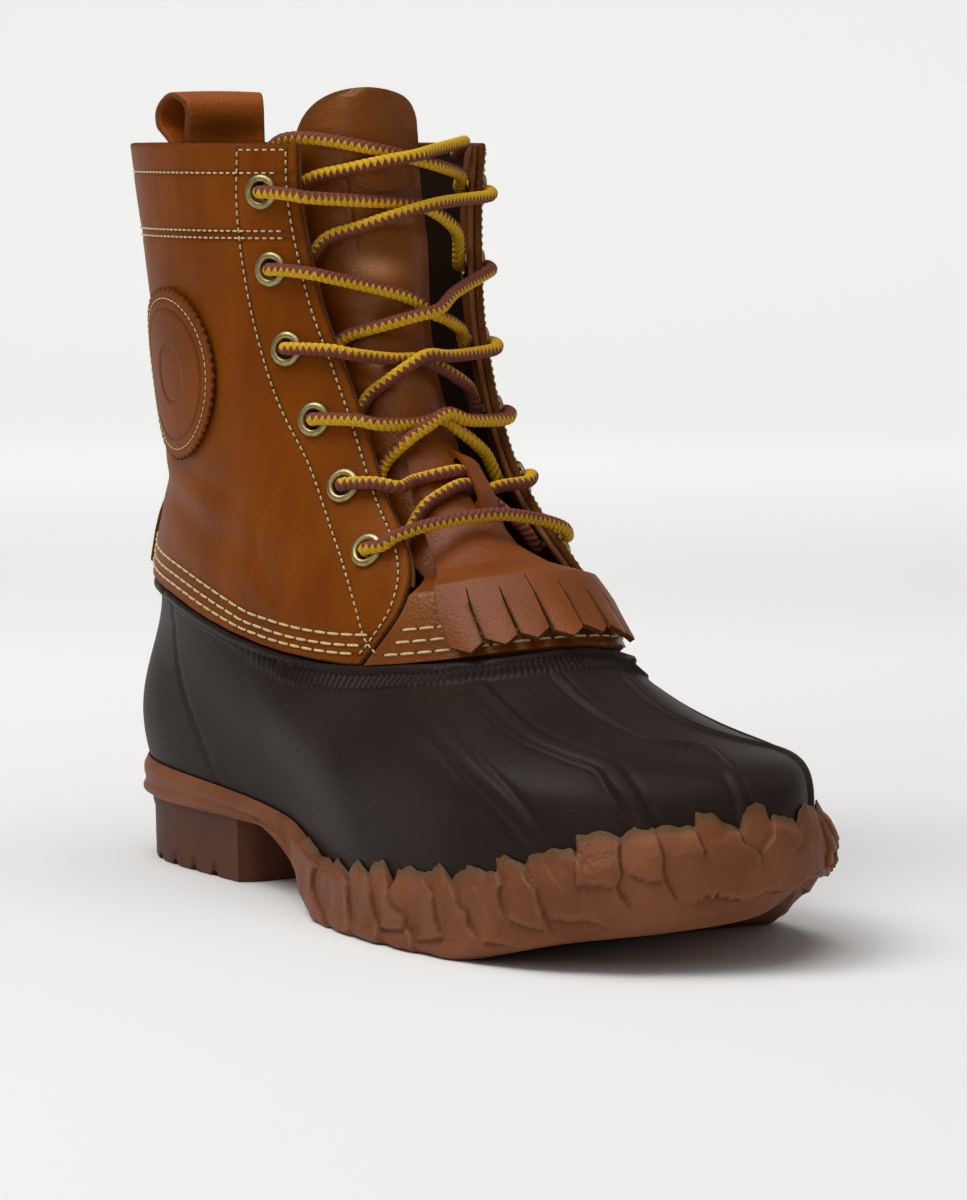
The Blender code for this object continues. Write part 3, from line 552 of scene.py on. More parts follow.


# Braided cord: half yellow, half maroon, parted by a zigzag; slanted ridges swap side at the parting, painted
# shade between them
def paintCord(wire):
    run = wire.node("ShaderNodeUVMap", {"uv_map": "run"})
    parts = wire.node("ShaderNodeSeparateXYZ", {}, {0: run}, 0)
    along = Wire(wire.tree, parts.socket.node.outputs[1])
    wave = wire.math("PINGPONG", along, cord["zigzag"] / 2) / (cord["zigzag"] / 2) - 0.5
    edge = wire.math("FRACT", parts + wave * cord["swing"] * 2 + 1.0)
    half = wire.math("GREATER_THAN", edge, 0.5)
    lean = wire.math("ABSOLUTE", wire.math("FRACT", parts + 1.0) - 0.5) * 2.0
    stripe = wire.math("SINE", (along / cord["zigzag"] + lean * cord["slant"]) * 6.2832) * 0.5 + 0.5
    fuzz = wire.noise(2400.0, 2.0, 0.7)
    yellow = wire.blend(fuzz, (0.60, 0.32, 0.004, 1), (0.82, 0.49, 0.02, 1))
    maroon = wire.blend(fuzz, (0.14, 0.033, 0.02, 1), (0.24, 0.07, 0.045, 1))
    colour = wire.blend(half, yellow, maroon)
    # painted shade between the braid's ridges
    colour = colour.mixed((1 - stripe) ** 2.0 * 0.28, (0.06, 0.02, 0.005, 1))
    return {"Base Color": colour, "Roughness": 0.66 + fuzz * 0.15,
            "Normal": wire.bump(stripe + fuzz * 0.5, 0.4, 0.0006)}


cordFinish = finishOf("two_colour_cord", gloss(0.2), paintCord)


# Footbed board: felted tan fibres
def paintFootbed(wire):
    felt = wire.noise(900.0, 4.0, 0.7)
    colour = wire.blend(felt.between(0.3, 0.7), (0.21, 0.14, 0.08, 1), (0.34, 0.25, 0.16, 1))
    return {"Base Color": colour, "Roughness": 0.85 + felt * 0.1, "Normal": wire.bump(felt, 0.4, 0.0006)}


footbed = finishOf("felt_footbed", {}, paintFootbed)
print("finishes ready")


# Gum cup sole: ragged leaf plates around the forefoot, a smooth rim at the heel
gum = {
    "columns": 1300, "wallRows": 54, "wall": 4.6, "lip": 0.7, "heelSeat": 19.0,
    # turn, underside, spread of the bottom edge, climb of the top edge
    "shape": np.array([
        [0, 19.5, 2, .05], [50, 19.5, 2, .05], [78, 19.5, 2, .05], [93, 11, 2, .05], [99, 3, 3.5, .06],
        [106, -.5, 5, .09], [116, -.9, 5.5, .13], [132, -.9, 5.5, .15], [150, 7.5, 3, .2], [165, 11, 1, .2],
        [180, 14, -.5, .18], [195, 18.5, -1, .165], [210, 16, -1, .16], [220, 8, 1, .17],
        [231, -.9, 3.5, .18],
        [246, -.9, 3.5, .15], [256, -.5, 3.5, .09], [263, 3, 3, .06], [269, 11, 2, .05], [282, 19.5, 2, .05],
        [310, 19.5, 2, .05]], float),
    # ragged top edge around the forefoot: turn and level of its tips and notches
    "edge": np.array([
        [90, .05], [94, .03], [98, .04], [102, .015], [104.2, .044], [106, .03], [108, .079],
        [110.5, .05], [114.2, .129],
        [116.5, .095], [118.8, .147], [121, .156], [122, .07], [123.5, .129], [125.8, .15], [129, .127],
        [132, .162],
        [133.2, .11], [136.8, .153], [141.2, .118], [142, .174], [143.5, .176], [145.8, .142], [148.5, .182],
        [153.4, .176], [153.8, .15], [154.8, .212], [157.8, .218], [159.8, .183], [162, .206], [163.8, .197],
        [164.2, .182], [165.2, .191], [168.5, .168], [169, .159], [169.8, .212], [171.8, .197], [172.8, .156],
        [175.2, .128], [176, .162], [177.2, .191], [178.8, .203], [180, .188], [180.6, .12], [181.5, .144],
        [183.8, .138], [188, .106], [188.8, .144], [191.2, .16], [196, .138], [200, .12], [204, .16],
        [208, .125],
        [212, .165], [216, .13], [220, .17], [224, .13], [229, .165], [233, .12], [238, .155],
        [243, .1], [248, .13],
        [253, .06], [258, .07], [263, .03], [268, .045], [275, .05]], float),
    # creases between the plates: turn and share of the wall's height;
    # the plate on the left of the way down lies on top
    "creases": [
        [(104.5, .65), (103.5, .47), (104.2, .37), (107.8, .24), (110.2, .1)],
        [(111, .92), (113, .76), (113.8, .58), (114.2, .38), (116, .04)],
        [(116.8, .97), (118, .83), (119.2, .61), (119.8, .48), (121, .35), (122.5, .04)],
        [(122, .9), (122.8, .71), (123.2, .59), (124.5, .52), (126.2, .48), (126.5, .41), (128, .29),
         (128.8, .06)],
        [(129.2, .97), (129.5, .89), (130.8, .74), (131.5, .64), (131.8, .53), (132.2, .45), (133.2, .37)],
        [(133.4, .95), (134.5, .76), (134.8, .66), (135.5, .56), (136.8, .52), (137, .46), (138, .4),
         (139.2, .32)],
        [(141.6, .95), (142.5, .75), (142, .65), (142.2, .55), (143.2, .47)],
        [(148.8, .39), (147.2, .4), (145, .44), (143.2, .47)],
        [(146, .95), (146.5, .77), (147.2, .67), (147.8, .61), (148, .54), (148.8, .46), (149.8, .32)],
        [(153.8, .58), (153.2, .61), (153.5, .71), (153.8, .95)],
        [(157, .34), (155.8, .39), (154.2, .42), (151.8, .43), (149.2, .45)],
        [(146.2, .06), (144.5, .18), (141.8, .28), (139.2, .32)],
        [(158, .55), (156, .57), (154.5, .59), (153.5, .61)],
        [(159.6, .95), (159, .8), (158.8, .68), (158.8, .61), (158.2, .55), (158.8, .5), (160, .44)],
        [(163.8, .55), (161.8, .56), (159.5, .61)],
        [(164.1, .92), (164, .68), (163.8, .58), (164.5, .51), (165.5, .45)],
        [(214, .42), (201, .49), (195, .47), (188, .44), (181.8, .41), (179.8, .43), (177.5, .43),
         (175.8, .41), (173.2, .42),
         (170.8, .45), (167.5, .45), (165.2, .45)],
        [(169, .95), (169, .79), (169.2, .71), (169, .65)],
        [(174.8, .92), (174.8, .75), (176, .66), (177, .6), (177, .53)],
        [(177.5, .61), (178.5, .66), (179.5, .73), (180.5, .95)],
        [(186.5, .9), (185.5, .72), (184.8, .66), (184, .63)],
        [(133.2, .37), (131, .33), (128.5, .3)], [(126.5, .4), (123.5, .36), (121, .36)]],
    # fine lines on the plates, in the same terms
    "veins": [
        [(125.5, 1), (127, .75), (127.8, .61), (128.8, .49), (131.8, .34)],
        [(138, .83), (139, .62), (139.8, .53), (141.2, .44)], [(107.2, .8), (108, .55), (108.8, .39),
         (112.5, .24)],
        [(114.2, .94), (116, .64), (116.5, .47)], [(149.5, .9), (150.5, .7), (152, .55)]],
    # pebbled plates: first and last turn, lower limit on the wall
    "pebbled": ((142.6, 147.6, .45), (153.8, 158.8, .6)),
}


# Gum sole: a wall of six rows joined by a cubic and moved out by its relief, an inner wall behind it,
# and rungs from edge to edge that close the underside and the top plate
def makeOutsole():
    half, rows = gum["columns"] // 2, gum["wallRows"]
    lateral = evenTurns(0.0, half + 1, 0, 180, lambda t: 0.35 + 0.65 * ramp(t, 70, 98))
    turn = np.r_[lateral, 360 - lateral[-2:0:-1]]
    size = len(turn)
    edge, out = skinAt(turn, 0.0), outwardAt(turn)
    along = lengthAlong(edge)
    shape = loopSpline(gum["shape"][:, 0], gum["shape"][:, 1:], turn)
    floor, spread, climb = np.clip(shape[:, 0], 0, gum["heelSeat"]), shape[:, 1], shape[:, 2]
    leafy = ramp(turn, 92, 97) * ramp(-turn, -268, -262)
    torn = 0.002 * np.sin(along * 1.7) + 0.003 * np.sin(along * 0.9 + 2)
    ragged = np.interp(turn, gum["edge"][:, 0], gum["edge"][:, 1]) + torn
    top = climb * (1 - leafy) + ragged * leafy
    full = gum["wall"] * (0.6 + 0.4 * leafy)
    smooth = np.hanning(41) / np.hanning(41).sum()
    calm = np.convolve(np.r_[top[-20:], top, top[:20]], smooth, "valid")
    mid = edge[:, 2] * 0.55 + floor * 0.45
    wall = np.stack([
        edge * flat + out * (spread - 1.2)[:, None] + up * floor[:, None],
        edge * flat + out * (spread + 1.2)[:, None] + up * (floor + 1.8)[:, None],
        edge * flat + out * (full + 0.4)[:, None] + up * mid[:, None],
        layerAt(turn, np.minimum(calm * 0.35, top * 0.6), full),
        layerAt(turn, np.minimum(calm * 0.62, top * 0.8), full * 0.72),
        layerAt(turn, top, gum["lip"])])
    high = np.linspace(0, 1, rows)
    wall = rowCurve(wall, high * 5)
    v = high[:, None]
    tall = lengthAlong(wall)[-1]
    height = v * tall
    relief, groove, ridge = plateMarks(turn, along, height, tall)
    relief = relief + 0.2 * np.sin(along * 0.35 + v * 4) + 0.1 * np.sin(along * 0.6 - v * 9 + 1)
    relief = relief * ramp(v, 0.02, 0.12) * (1 - 0.7 * ramp(v, 0.86, 1.0))
    # heel: smooth rim with one groove; arch: fine ribs
    back = np.minimum(turn, 360 - turn)
    ribs = ramp(back, 78, 86) * (1 - ramp(back, 97, 103))
    rim = -0.55 * hill(v - 0.42, 0.07) + ribs * 0.28 * np.sin(along * 2 * np.pi / 2.3) * ramp(v, 0.1, 0.3)
    relief = relief * leafy + rim * (1 - leafy)
    around = np.roll(wall, -1, 1) - np.roll(wall, 1, 1)
    wall = wall + unit(np.cross(around, np.gradient(wall, axis=0))) * relief[..., None]
    wall[0, :, 2] = floor
    wall[..., 2] = np.maximum(wall[..., 2], 0)
    inner = np.stack([layerAt(turn, top, 0.4), layerAt(turn, top * 0.4, 0.4),
                      edge + out * 0.4 - up * 0.4, edge - out * 5.0 - up * 0.4])
    points = np.concatenate([wall, inner])
    parts, faces = [points.reshape(-1, 3)], [ringFaces(len(points), size)]
    for row, rungs, under in ((len(points) - 1, 4, False), (0, 20, True)):
        left, right = points[row, 1:half], points[row, :half:-1]
        share = (np.arange(1, rungs) / rungs)[:, None]
        cross = left[:, None] + (right - left)[:, None] * share
        if under:
            cross = cross + up * treadAt(cross[..., 0], cross[..., 1])[..., None]
        ids = sum(len(p) for p in parts) + np.arange((half - 1) * (rungs - 1)).reshape(half - 1, rungs - 1)
        ids = np.c_[row * size + np.arange(1, half), ids, row * size + np.arange(size - 1, half, -1)]
        heelEnd, toeEnd = np.full(rungs, row * size), np.full(rungs, row * size + half)
        closing = [quadsOf(ids), np.stack([heelEnd, ids[0, 1:], ids[0, :-1]], -1),
                   np.stack([toeEnd, ids[-1, :-1], ids[-1, 1:]], -1)]
        faces += [part[:, ::-1] if under else part for part in closing]
        parts.append(cross.reshape(-1, 3))
    points = np.concatenate(parts)
    pebble = sum(ramp(turn, first, first + 0.6) * ramp(-turn, -final, 0.6 - final) * ramp(v, low, low + 0.05)
                 for first, final, low in gum["pebbled"])
    # groove and ridge: masks of painted shade and painted highlight
    fields = {"groove": leafy * np.clip(groove, 0, 1), "ridge": leafy * np.clip(ridge, 0, 1),
              "thin": leafy * ramp(height - tall, -3.6, -0.3), "pebble": pebble}
    fields = {key: np.pad(value.ravel(), (0, len(points) - value.size)) for key, value in fields.items()}
    makePiece("gum_sole", points, faces, gumFinish, ["outsole"], fields=fields, crease=60)


# Height of the tread's hollows: chevrons under the forefoot, fine nubs behind them
def treadAt(x, y):
    fore = ramp(-y, 26, 34) * ramp(y, -92, -84) * ramp(-np.abs(x), -36, -33)
    chevron = (y + 8 * (1 - np.abs(x) / 34) + 5.0) % 12.5
    deep = 3.0 * fore * ramp(-np.abs(chevron - 6.5), -2.7, -2.2)
    return deep + 0.5 * ramp(np.sin(y * 1.35) * np.sin(x * 1.35), 0.2, 0.5) * (1 - fore) * ramp(-y, -55, -40)


# Relief, groove and ridge of the plates by distance and side of each crease (groove: painted shade, ridge:
# painted highlight):
# a plate swells to its edge, drops and leaves a thin dark line of painted shade; the medial side mirrors the
# lateral one
def plateMarks(turn, along, height, tall):
    relief, groove, ridge = np.zeros((3,) + height.shape)
    lines = [(marks, 1, thin) for thin in (False, True) for marks in gum["veins" if thin else "creases"]]
    lines += [([(360 - t, h) for t, h in marks], -1, thin) for marks, side, thin in lines
              if max(t for t, h in marks) < 166]
    for marks, side, thin in lines:
        way = rowCurve(np.asarray(marks, float), np.linspace(0, len(marks) - 1, 48))
        a = np.interp(way[:, 0], turn, along)
        b = way[:, 1] * np.interp(way[:, 0], turn, tall)
        near = (along > a.min() - 14) & (along < a.max() + 14)
        da, db = along[None, near, None] - a, height[:, near, None] - b
        spot = np.argmin(da * da + db * db, -1)[..., None]
        da, db = (np.take_along_axis(d, spot, -1)[..., 0] for d in (da, db))
        spot = spot[..., 0]
        away = np.hypot(da, db)
        strength = ramp(spot, -3, 4) * ramp(-spot, -50, -40)
        if thin:
            relief[:, near] -= 0.3 * strength * hill(away, 0.5)
            ridge[:, near] = np.maximum(ridge[:, near], 0.6 * strength * hill(away - 0.5, 0.5))
            continue
        upper = side * (np.gradient(a)[spot] * db - np.gradient(b)[spot] * da) < 0
        past = ramp(np.where(upper, -away, away), -0.55, 0.55)
        # the one long crease around the toe is a ledge
        ledge = len(marks) > 9
        drop = 1.5 * np.exp(-away / 9) if ledge else 0.55 * np.exp(-away / 2.2)
        relief[:, near] += strength * ((1 - past) * np.exp(-away / (4.0 if ledge else 6.0)) - past * drop)
        # groove: painted shade along the crease, wider on the lower plate; ridge: painted highlight at the
        # upper plate's edge
        dark = strength * np.where(upper, hill(away, 0.2), hill(away, 0.75))
        groove[:, near] = np.maximum(groove[:, near], dark)
        ridge[:, near] = np.maximum(ridge[:, near], strength * upper * hill(away - 0.5, 0.6))
    return relief, groove, ridge


makeOutsole()


# Heel block: the seat's outline carried down, cross grooves that show as scallops on its side
heel = {
    "breast": 60.0, "seat": 18.8, "inset": -0.4, "middle": np.array([0.0, 104.0, 0.0]),
    "grooves": np.arange(78.0, 138.0, 13.0), "half": 2.0, "depth": 3.2,
}


# Heel: the rim scaled about a middle point at each height of the profile, then inwards across the floor;
# the grooves lift the floor by half ellipses
def makeHeel():
    arc = np.linspace(-73, 73, 221)
    rim = skinAt(arc, 0.0) - outwardAt(arc) * heel["inset"]
    rim = rim[rim[:, 1] > heel["breast"] + 1.5]
    line = np.linspace(rim[-1, 0], rim[0, 0], 42)[1:-1]
    front = np.c_[line, heel["breast"] + 1.5 * np.abs(np.linspace(-1, 1, 40)) ** 18, np.zeros(40)]
    rim = np.concatenate([rim, front]) * flat
    # scale and height
    profile = [(1.0, heel["seat"]), (1.0, 17.6), (0.985, 15.5), (0.982, 12), (0.98, 8), (0.978, 5.2),
               (0.977, 3.6), (0.976, 2.4), (0.975, 1.4), (0.974, 0.7), (0.968, 0.15), (0.955, 0.0)]
    profile = np.array(profile + [(s, 0.0) for s in np.linspace(0.93, 0.03, 44)])
    points = heel["middle"] + (rim - heel["middle"]) * profile[:, :1, None]
    away = np.abs(points[..., 1, None] - heel["grooves"]).min(-1)
    lift = heel["depth"] * np.sqrt(np.clip(1 - (away / heel["half"]) ** 2, 0, 1))
    height = profile[:, 1:] + 0 * lift
    raised = lift * ramp(-np.abs(points[..., 0]), -80, -5) * (height < heel["depth"])
    points[..., 2] = np.maximum(height, raised)
    rows, columns = height.shape
    faces = [ringFaces(rows, columns)[:, ::-1], np.arange(columns)[None, :],
             (rows - 1) * columns + np.arange(columns)[None, ::-1]]
    # groove: mask of painted shade in the cross grooves
    groove = np.clip(lift / heel["depth"], 0, 1) * (height < 4)
    makePiece("heel_stack", points, faces, heelFinish, ["heel_block"],
              fields={"groove": groove}, crease=50)


makeHeel()


# Rubber bottom: bead and ribbed band under the leather, raised ribs down the vamp, a crease at each heel side
bottom = {
    "columns": 600, "rows": 118, "wall": 2.4, "bead": 2.3, "beadWide": 3.4, "band": 0.95, "bandWide": 5.8,
    "ribDeep": 0.55,
    # each rib: width, height, then turn and level of its points
    "ribs": [
        (2.5, 0.75, [(137, .93), (142, .82), (148, .70), (149, .48), (149, .30), (149, .12)]),
        (2.6, 1.15, [(151, .97), (157, .83), (160, .70), (163, .60), (165, .52), (164, .40), (163, .24),
        (163, .12)]),
        (1.5, 0.9, [(171, .98), (174, .84), (177, .70), (181, .64), (180, .52), (178, .38), (177, .24),
        (176, .12)]),
        (2.0, 0.9, [(192, .98), (187, .88), (187, .78), (190, .68), (197, .52), (198, .38), (197, .14)]),
        (2.5, 0.75, [(222, .93), (217, .82), (211, .70), (211, .48), (211, .30), (211, .12)])],
    "creases": [[(54, 1.4), (59, .85), (64, .45), (68, .06)], [(306, 1.4), (301, .85), (296, .45), (292, .06)]],
}


# Points close together along a line given by turn and level
def skinLine(marks, count):
    marks = rowCurve(np.asarray(marks, float), np.linspace(0, len(marks) - 1, count))
    return skinAt(marks[:, 0], marks[:, 1])


# Rubber: the skin below the seam moved out by bead, band, ribs and swells, with an inner face one wall behind
def makeRubber():
    columns = bottom["columns"]
    turn = evenTurns(0.4, columns + 1, 0, 360, lambda t: 0.4 + 0.6 * ramp(-np.abs(t - 180), -112, -84))[:-1]
    level = np.concatenate([np.linspace(0, 0.84, bottom["rows"] - 44), np.linspace(0.84, 1.0, 42)[1:],
                            [1.2, 1.6, 2.0]])
    place = level[:, None] + seamRise(turn) * (ramp(level, 0.5, 1.0) * np.clip(2 - level, 0, 1))[:, None]
    grid, facing = skinAt(turn, place), normalAt(turn, place)
    length = lengthAlong(grid)
    below = length[np.argmax(level >= 1.0)] - length
    front = ramp(-np.abs(turn - 180), -100, -72)
    half = bottom["beadWide"] / 2
    bead = bottom["bead"] * np.sqrt(np.clip(1 - ((below - half) / half) ** 2, 0, 1))
    wide = bottom["bandWide"] * (0.35 + 0.65 * front)
    start = bottom["beadWide"] - 0.2
    band = ramp(below, start - 0.3, start) * (1 - ramp(below, start + wide - 0.7, start + wide))
    # upright ribs, one to every four columns of the grid
    comb = band * front * (0.5 - 0.5 * np.cos(np.arange(columns) * np.pi / 2))
    relief = bead + band * (0.3 + 0.7 * front) * bottom["band"] - bottom["ribDeep"] * comb
    area = (level < 0.99)[:, None]
    fade = ramp(below, start + bottom["bandWide"] - 2, start + bottom["bandWide"] + 5)
    for wide, height, marks in bottom["ribs"]:
        away = pathDistance(grid, skinLine(marks, 160))
        rib = np.exp(-(away / wide) ** 4) - 0.45 * hill(away - wide * 1.45, wide * 0.42)
        relief += area * fade * height * rib
    for marks in bottom["creases"]:
        relief -= area * 0.55 * hill(pathDistance(grid, skinLine(marks, 90)), 1.1)
    # slow swells of the moulding
    relief += area * 0.35 * np.sin(np.radians(turn * 3 + 40)) * np.sin(level * 4.2)[:, None]
    deep = np.array([2.0, 1.5, 1.0, 0.84, 0.66, 0.48, 0.3, 0.14, 0.0])
    points = np.concatenate([grid + facing * relief[..., None], layerAt(turn, deep[:, None], -bottom["wall"])])
    # the gaps between the ribs also carry painted shade in the finish
    fields = {"comb": np.pad(comb, ((0, len(deep)), (0, 0)))}
    makePiece("rubber_foot", points, ringFaces(len(points), columns, True), rubber, ["rubber_bottom"],
              fields=fields, crease=70)


makeRubber()


# Threads and needle holes gathered here become two pieces at the end
sewing = {"threads": [], "holes": [], "radius": 0.3, "sides": 6, "rings": 7}


# Stitches along a path: each runs from hole to hole as a low arch, its ends sunk in the hide
def sewAlong(path, facing, pitch, fill=0.78, radius=None):
    radius = radius or sewing["radius"]
    run = lengthAlong(path)
    count = max(int(run[-1] / pitch), 1)
    at = (np.arange(count) + 0.5) * run[-1] / count
    t = np.linspace(-0.5, 0.5, sewing["rings"])
    s = at[:, None] + t[None, :] * pitch * fill
    middle, n = readAlong(s, run, path), readAlong(s, run, facing)
    side = unit(np.cross(n, unit(np.gradient(middle, axis=1))))
    middle = middle + n * (radius * (1.25 * (1 - (2 * t) ** 4) - 0.75))[None, :, None]
    slim = (radius * (1 - 0.45 * np.abs(2 * t) ** 3))[None, :, None, None]
    ring = circleOf(sewing["sides"], side, n * 0.85)
    sewing["threads"].append((middle[:, :, None] + ring * slim).reshape(count, -1, 3))
    gaps = np.r_[at - pitch / 2, at[-1] + pitch / 2]
    ahead = readAlong(gaps + 0.1, run, path) - readAlong(gaps - 0.1, run, path)
    sewing["holes"].append((readAlong(gaps, run, path), readAlong(gaps, run, facing), ahead, radius))


# A row of stitches on the skin given by turn, level and height
def sewRow(turn, level, offset, pitch, fill=0.78, radius=None):
    turn, level = np.broadcast_arrays(np.asarray(turn, float), np.asarray(level, float))
    sewAlong(layerAt(turn, level, offset), normalAt(turn, level), pitch, fill, radius)


# Leather leg: one closed sheet, rounded at its edges, holed for the eyelets, pressed along its stitch rows
shaft = {
    "rows": 146, "columns": 286, "outer": 2.75, "inner": 0.55, "low": 1.02, "top": 6.0, "round": 0.9,
    "span": 250.0, "hole": 3.9,
    # stitch rows: distance from the edge; pitch, filled share and radius of their stitches
    "footRows": (3.9, 7.4, 11.4), "throatRow": 3.2, "collarRows": (8.4, 25.3, 27.4),
    "footStitch": (5.6, 0.95, 0.4), "throatStitch": (2.4, 0.66), "collarStitch": (2.5, 0.68),
    # level and turn of the row behind the eyelets
    "stayRow": np.array([[1.3, 127], [1.56, 125.5], [2.02, 125.5], [2.58, 127], [3.14, 127], [3.58, 122],
                         [4.14, 119], [4.62, 118], [6.0, 121]], float),
    # level and half turn of the eyelets, from the collar down
    "eyelets": np.array([[5.36, 52], [4.6, 52], [3.98, 51], [3.46, 47], [2.96, 44], [2.48, 45]], float),
    # soft folds: depth, width, then turn and level of their points
    "folds": [
        (0.8, 5.0, [(40, 2.9), (62, 2.75), (88, 2.55), (104, 2.42)]),
        (0.5, 4.0, [(48, 3.3), (70, 3.1), (98, 2.86)]),
        (0.6, 4.5, [(320, 2.9), (298, 2.75), (272, 2.55), (256, 2.42)]),
        (0.45, 3.0, [(112, 2.95), (104, 2.72), (100, 2.42), (104, 2.1)]),
        (0.45, 3.5, [(248, 2.95), (256, 2.72), (260, 2.42), (256, 2.1)])],
}


# Turns and levels of the twelve eyelets, lateral ones first
def eyeletPlaces():
    level, half = shaft["eyelets"].T
    wider = half + throatAt(level, 1) - throatAt(level)
    return np.r_[180 - half, wider - 180], np.r_[level, level]


# Distance of each grid cell's middle from the nearest eyelet
def eyeletDistance(skin):
    cell = (skin[:-1, :-1] + skin[1:, 1:]) / 2
    return np.sqrt(((cell[:, :, None] - skinAt(*eyeletPlaces())) ** 2).sum(-1)).min(-1)


# Leather leg: a grid from throat to throat and seam to collar, moved out to both faces of the hide,
# less the folds and the pressed rows; then its stitch rows
def makeShaft():
    rows, columns = shaft["rows"], shaft["columns"]
    levels = np.linspace(shaft["low"], shaft["top"], 600)
    rise = lengthAlong(skinAt(90.0, levels))
    level = np.interp(edgedSteps(rows, rise[-1]), rise, levels)[:, None]
    wide = edgedSteps(columns, shaft["span"]) / shaft["span"] * 2 - 1
    medial = np.where(wide < 0, 1, -1)
    reach = 180 - throatAt(level, medial)
    turn = reach * wide
    # raw lower edge wanders a little and follows the seam
    level = level + (0.006 * np.sin(turn * 0.31) + 0.004 * np.sin(turn * 0.83 + 1)) * ramp(-level, -1.3, -1.02)
    level = level + seamRise(turn) * ramp(-level, -2.8, -1.02)
    skin, facing = skinAt(turn, level), normalAt(turn, level)
    upward = lengthAlong(skin)
    downward = upward[-1:] - upward
    degree = degreeWidth(turn, level)
    throat = (reach - np.abs(turn)) * degree
    border = np.minimum(np.minimum(throat, upward), downward)
    full = edgeRound(border, shaft["round"], 0.28)
    middle, thick = (shaft["outer"] + shaft["inner"]) / 2, (shaft["outer"] - shaft["inner"]) / 2
    wider = np.where(turn < 0, throatAt(level, 1) - throatAt(level), 0)
    behind = (np.abs(turn) + wider - tableCurve(shaft["stayRow"], level)) * degree
    pressed = hill(throat - shaft["throatRow"], 0.9) + hill(behind, 0.9) * ramp(level, 1.3, 1.4)
    pressed = pressed + sum(hill(upward - d, 0.8) for d in shaft["footRows"])
    pressed = np.clip(pressed + sum(hill(downward - d, 0.9) for d in shaft["collarRows"]), 0, 1)
    relief = -0.22 * pressed
    for deep, size, marks in shaft["folds"]:
        away = pathDistance(skin, skinLine(marks, 80))
        relief += 0.6 * deep * (0.5 * hill(away - 1.7 * size, size) - hill(away, size))
    relief += 0.14 * np.sin(np.radians(turn) * 5 + level * 1.7) * ramp(border, 2, 12)
    relief += 0.07 * np.sin(np.radians(turn) * 17 + 2.1 * level) * np.sin(level * 6.1) * ramp(border, 2, 10)
    outer = skin + facing * (middle + thick * full + relief)[..., None]
    inner = skin + facing * (middle - thick * full)[..., None]
    cut = np.clip(hill(border, 0.7), 0, 1)
    # inner face: dark lining colour that also stands in as painted shade
    fields = {"pressed": np.stack([pressed * 0.8, 0 * pressed]), "cut": np.stack([cut, cut]),
              "lining": np.stack([0 * cut, 1 - cut])}
    faces = sheetFaces(rows, columns, eyeletDistance(skin) > shaft["hole"])
    makePiece("leather_leg", np.stack([outer, inner]), faces, leather, ["leather_shaft"],
              fields=fields, crease=55)
    # rows along the lower edge and the collar, read on every third column
    pick = np.arange(0, columns, 3)
    for d in shaft["footRows"]:
        at = np.array([np.interp(d, upward[:, c], level[:, c]) for c in pick])
        around = np.array([np.interp(a, level[:, c], turn[:, c]) for a, c in zip(at, pick)])
        keep = np.abs(around) < 180 - throatAt(at) - 2.5
        sewRow(around[keep], at[keep], shaft["outer"], *shaft["footStitch"])
    for d in shaft["collarRows"]:
        at = np.array([np.interp(-d, -downward[:, c], level[:, c]) for c in pick])
        limit = 180 - throatAt(at, medial[pick])
        around = wide[pick] * limit
        keep = np.abs(around) < limit - 4.4
        sewRow(around[keep], at[keep], shaft["outer"], *shaft["collarStitch"])
    # rows before and behind the eyelets, joined across the top
    climb = np.linspace(1.25, 5.92, 260)
    for sign in (1, -1):
        limit = 180 - throatAt(climb, -sign)
        before = limit - shaft["throatRow"] / degreeWidth(limit, climb)
        behind = tableCurve(shaft["stayRow"], climb) + limit - 180 + throatAt(climb)
        across = np.linspace(behind[-1], before[-1], 40)
        for path, high in ((before, climb), (behind, climb), (across, climb[-1])):
            sewRow(sign * path, high, shaft["outer"], *shaft["throatStitch"])


makeShaft()


# Facings behind the throat edges: a second and third layer that show at the cut edge
facings = {"outer": 0.45, "inner": -1.35, "low": 2.2, "high": 5.96, "wide": 19.0, "past": 0.35, "hole": 3.6}


# Facings: on each side a sheet from just past the throat's edge back around the leg, thinned at that edge
def makeFacings():
    level = np.linspace(facings["low"], facings["high"], 90)[:, None]
    share = np.array([0.0, 0.006, 0.016, 0.035, 0.08, 0.2, 0.4, 0.6, 0.8, 1.0])
    middle, thick = (facings["outer"] + facings["inner"]) / 2, (facings["outer"] - facings["inner"]) / 2
    points, faces = [], []
    for sign in (1, -1):
        reach = 180 - throatAt(level, -sign) + facings["past"]
        turn = sign * (reach - facings["wide"] * share)[:, ::-sign]
        full = np.minimum(1, 0.35 + np.abs(np.abs(turn) - reach) * 1.2)
        pair = np.stack([layerAt(turn, level, middle + side * thick * full) for side in (1, -1)])
        keep = eyeletDistance(skinAt(turn, level)) > facings["hole"]
        faces.append(sheetFaces(*turn.shape, keep) + sum(len(p) for p in points))
        points.append(pair.reshape(-1, 3))
    points = np.concatenate(points)
    makePiece("throat_facings", points, faces, tongueLeather, crease=55,
              fields={"cut": np.full(len(points), 0.55)})


makeFacings()


# Eyelets: a rolled brass ring and its barrel, turned about each hole's own axis
eyelet = {"sides": 36, "profile": [  # radius, height
    (2.9, -4.2), (2.9, 0.4), (2.95, 1.0), (3.1, 1.4), (3.4, 1.62), (3.9, 1.66), (4.5, 1.52), (4.9, 1.2),
    (5.1, 0.75),
    (5.05, 0.45), (4.7, 0.35), (3.3, 0.3), (3.3, -4.2)]}


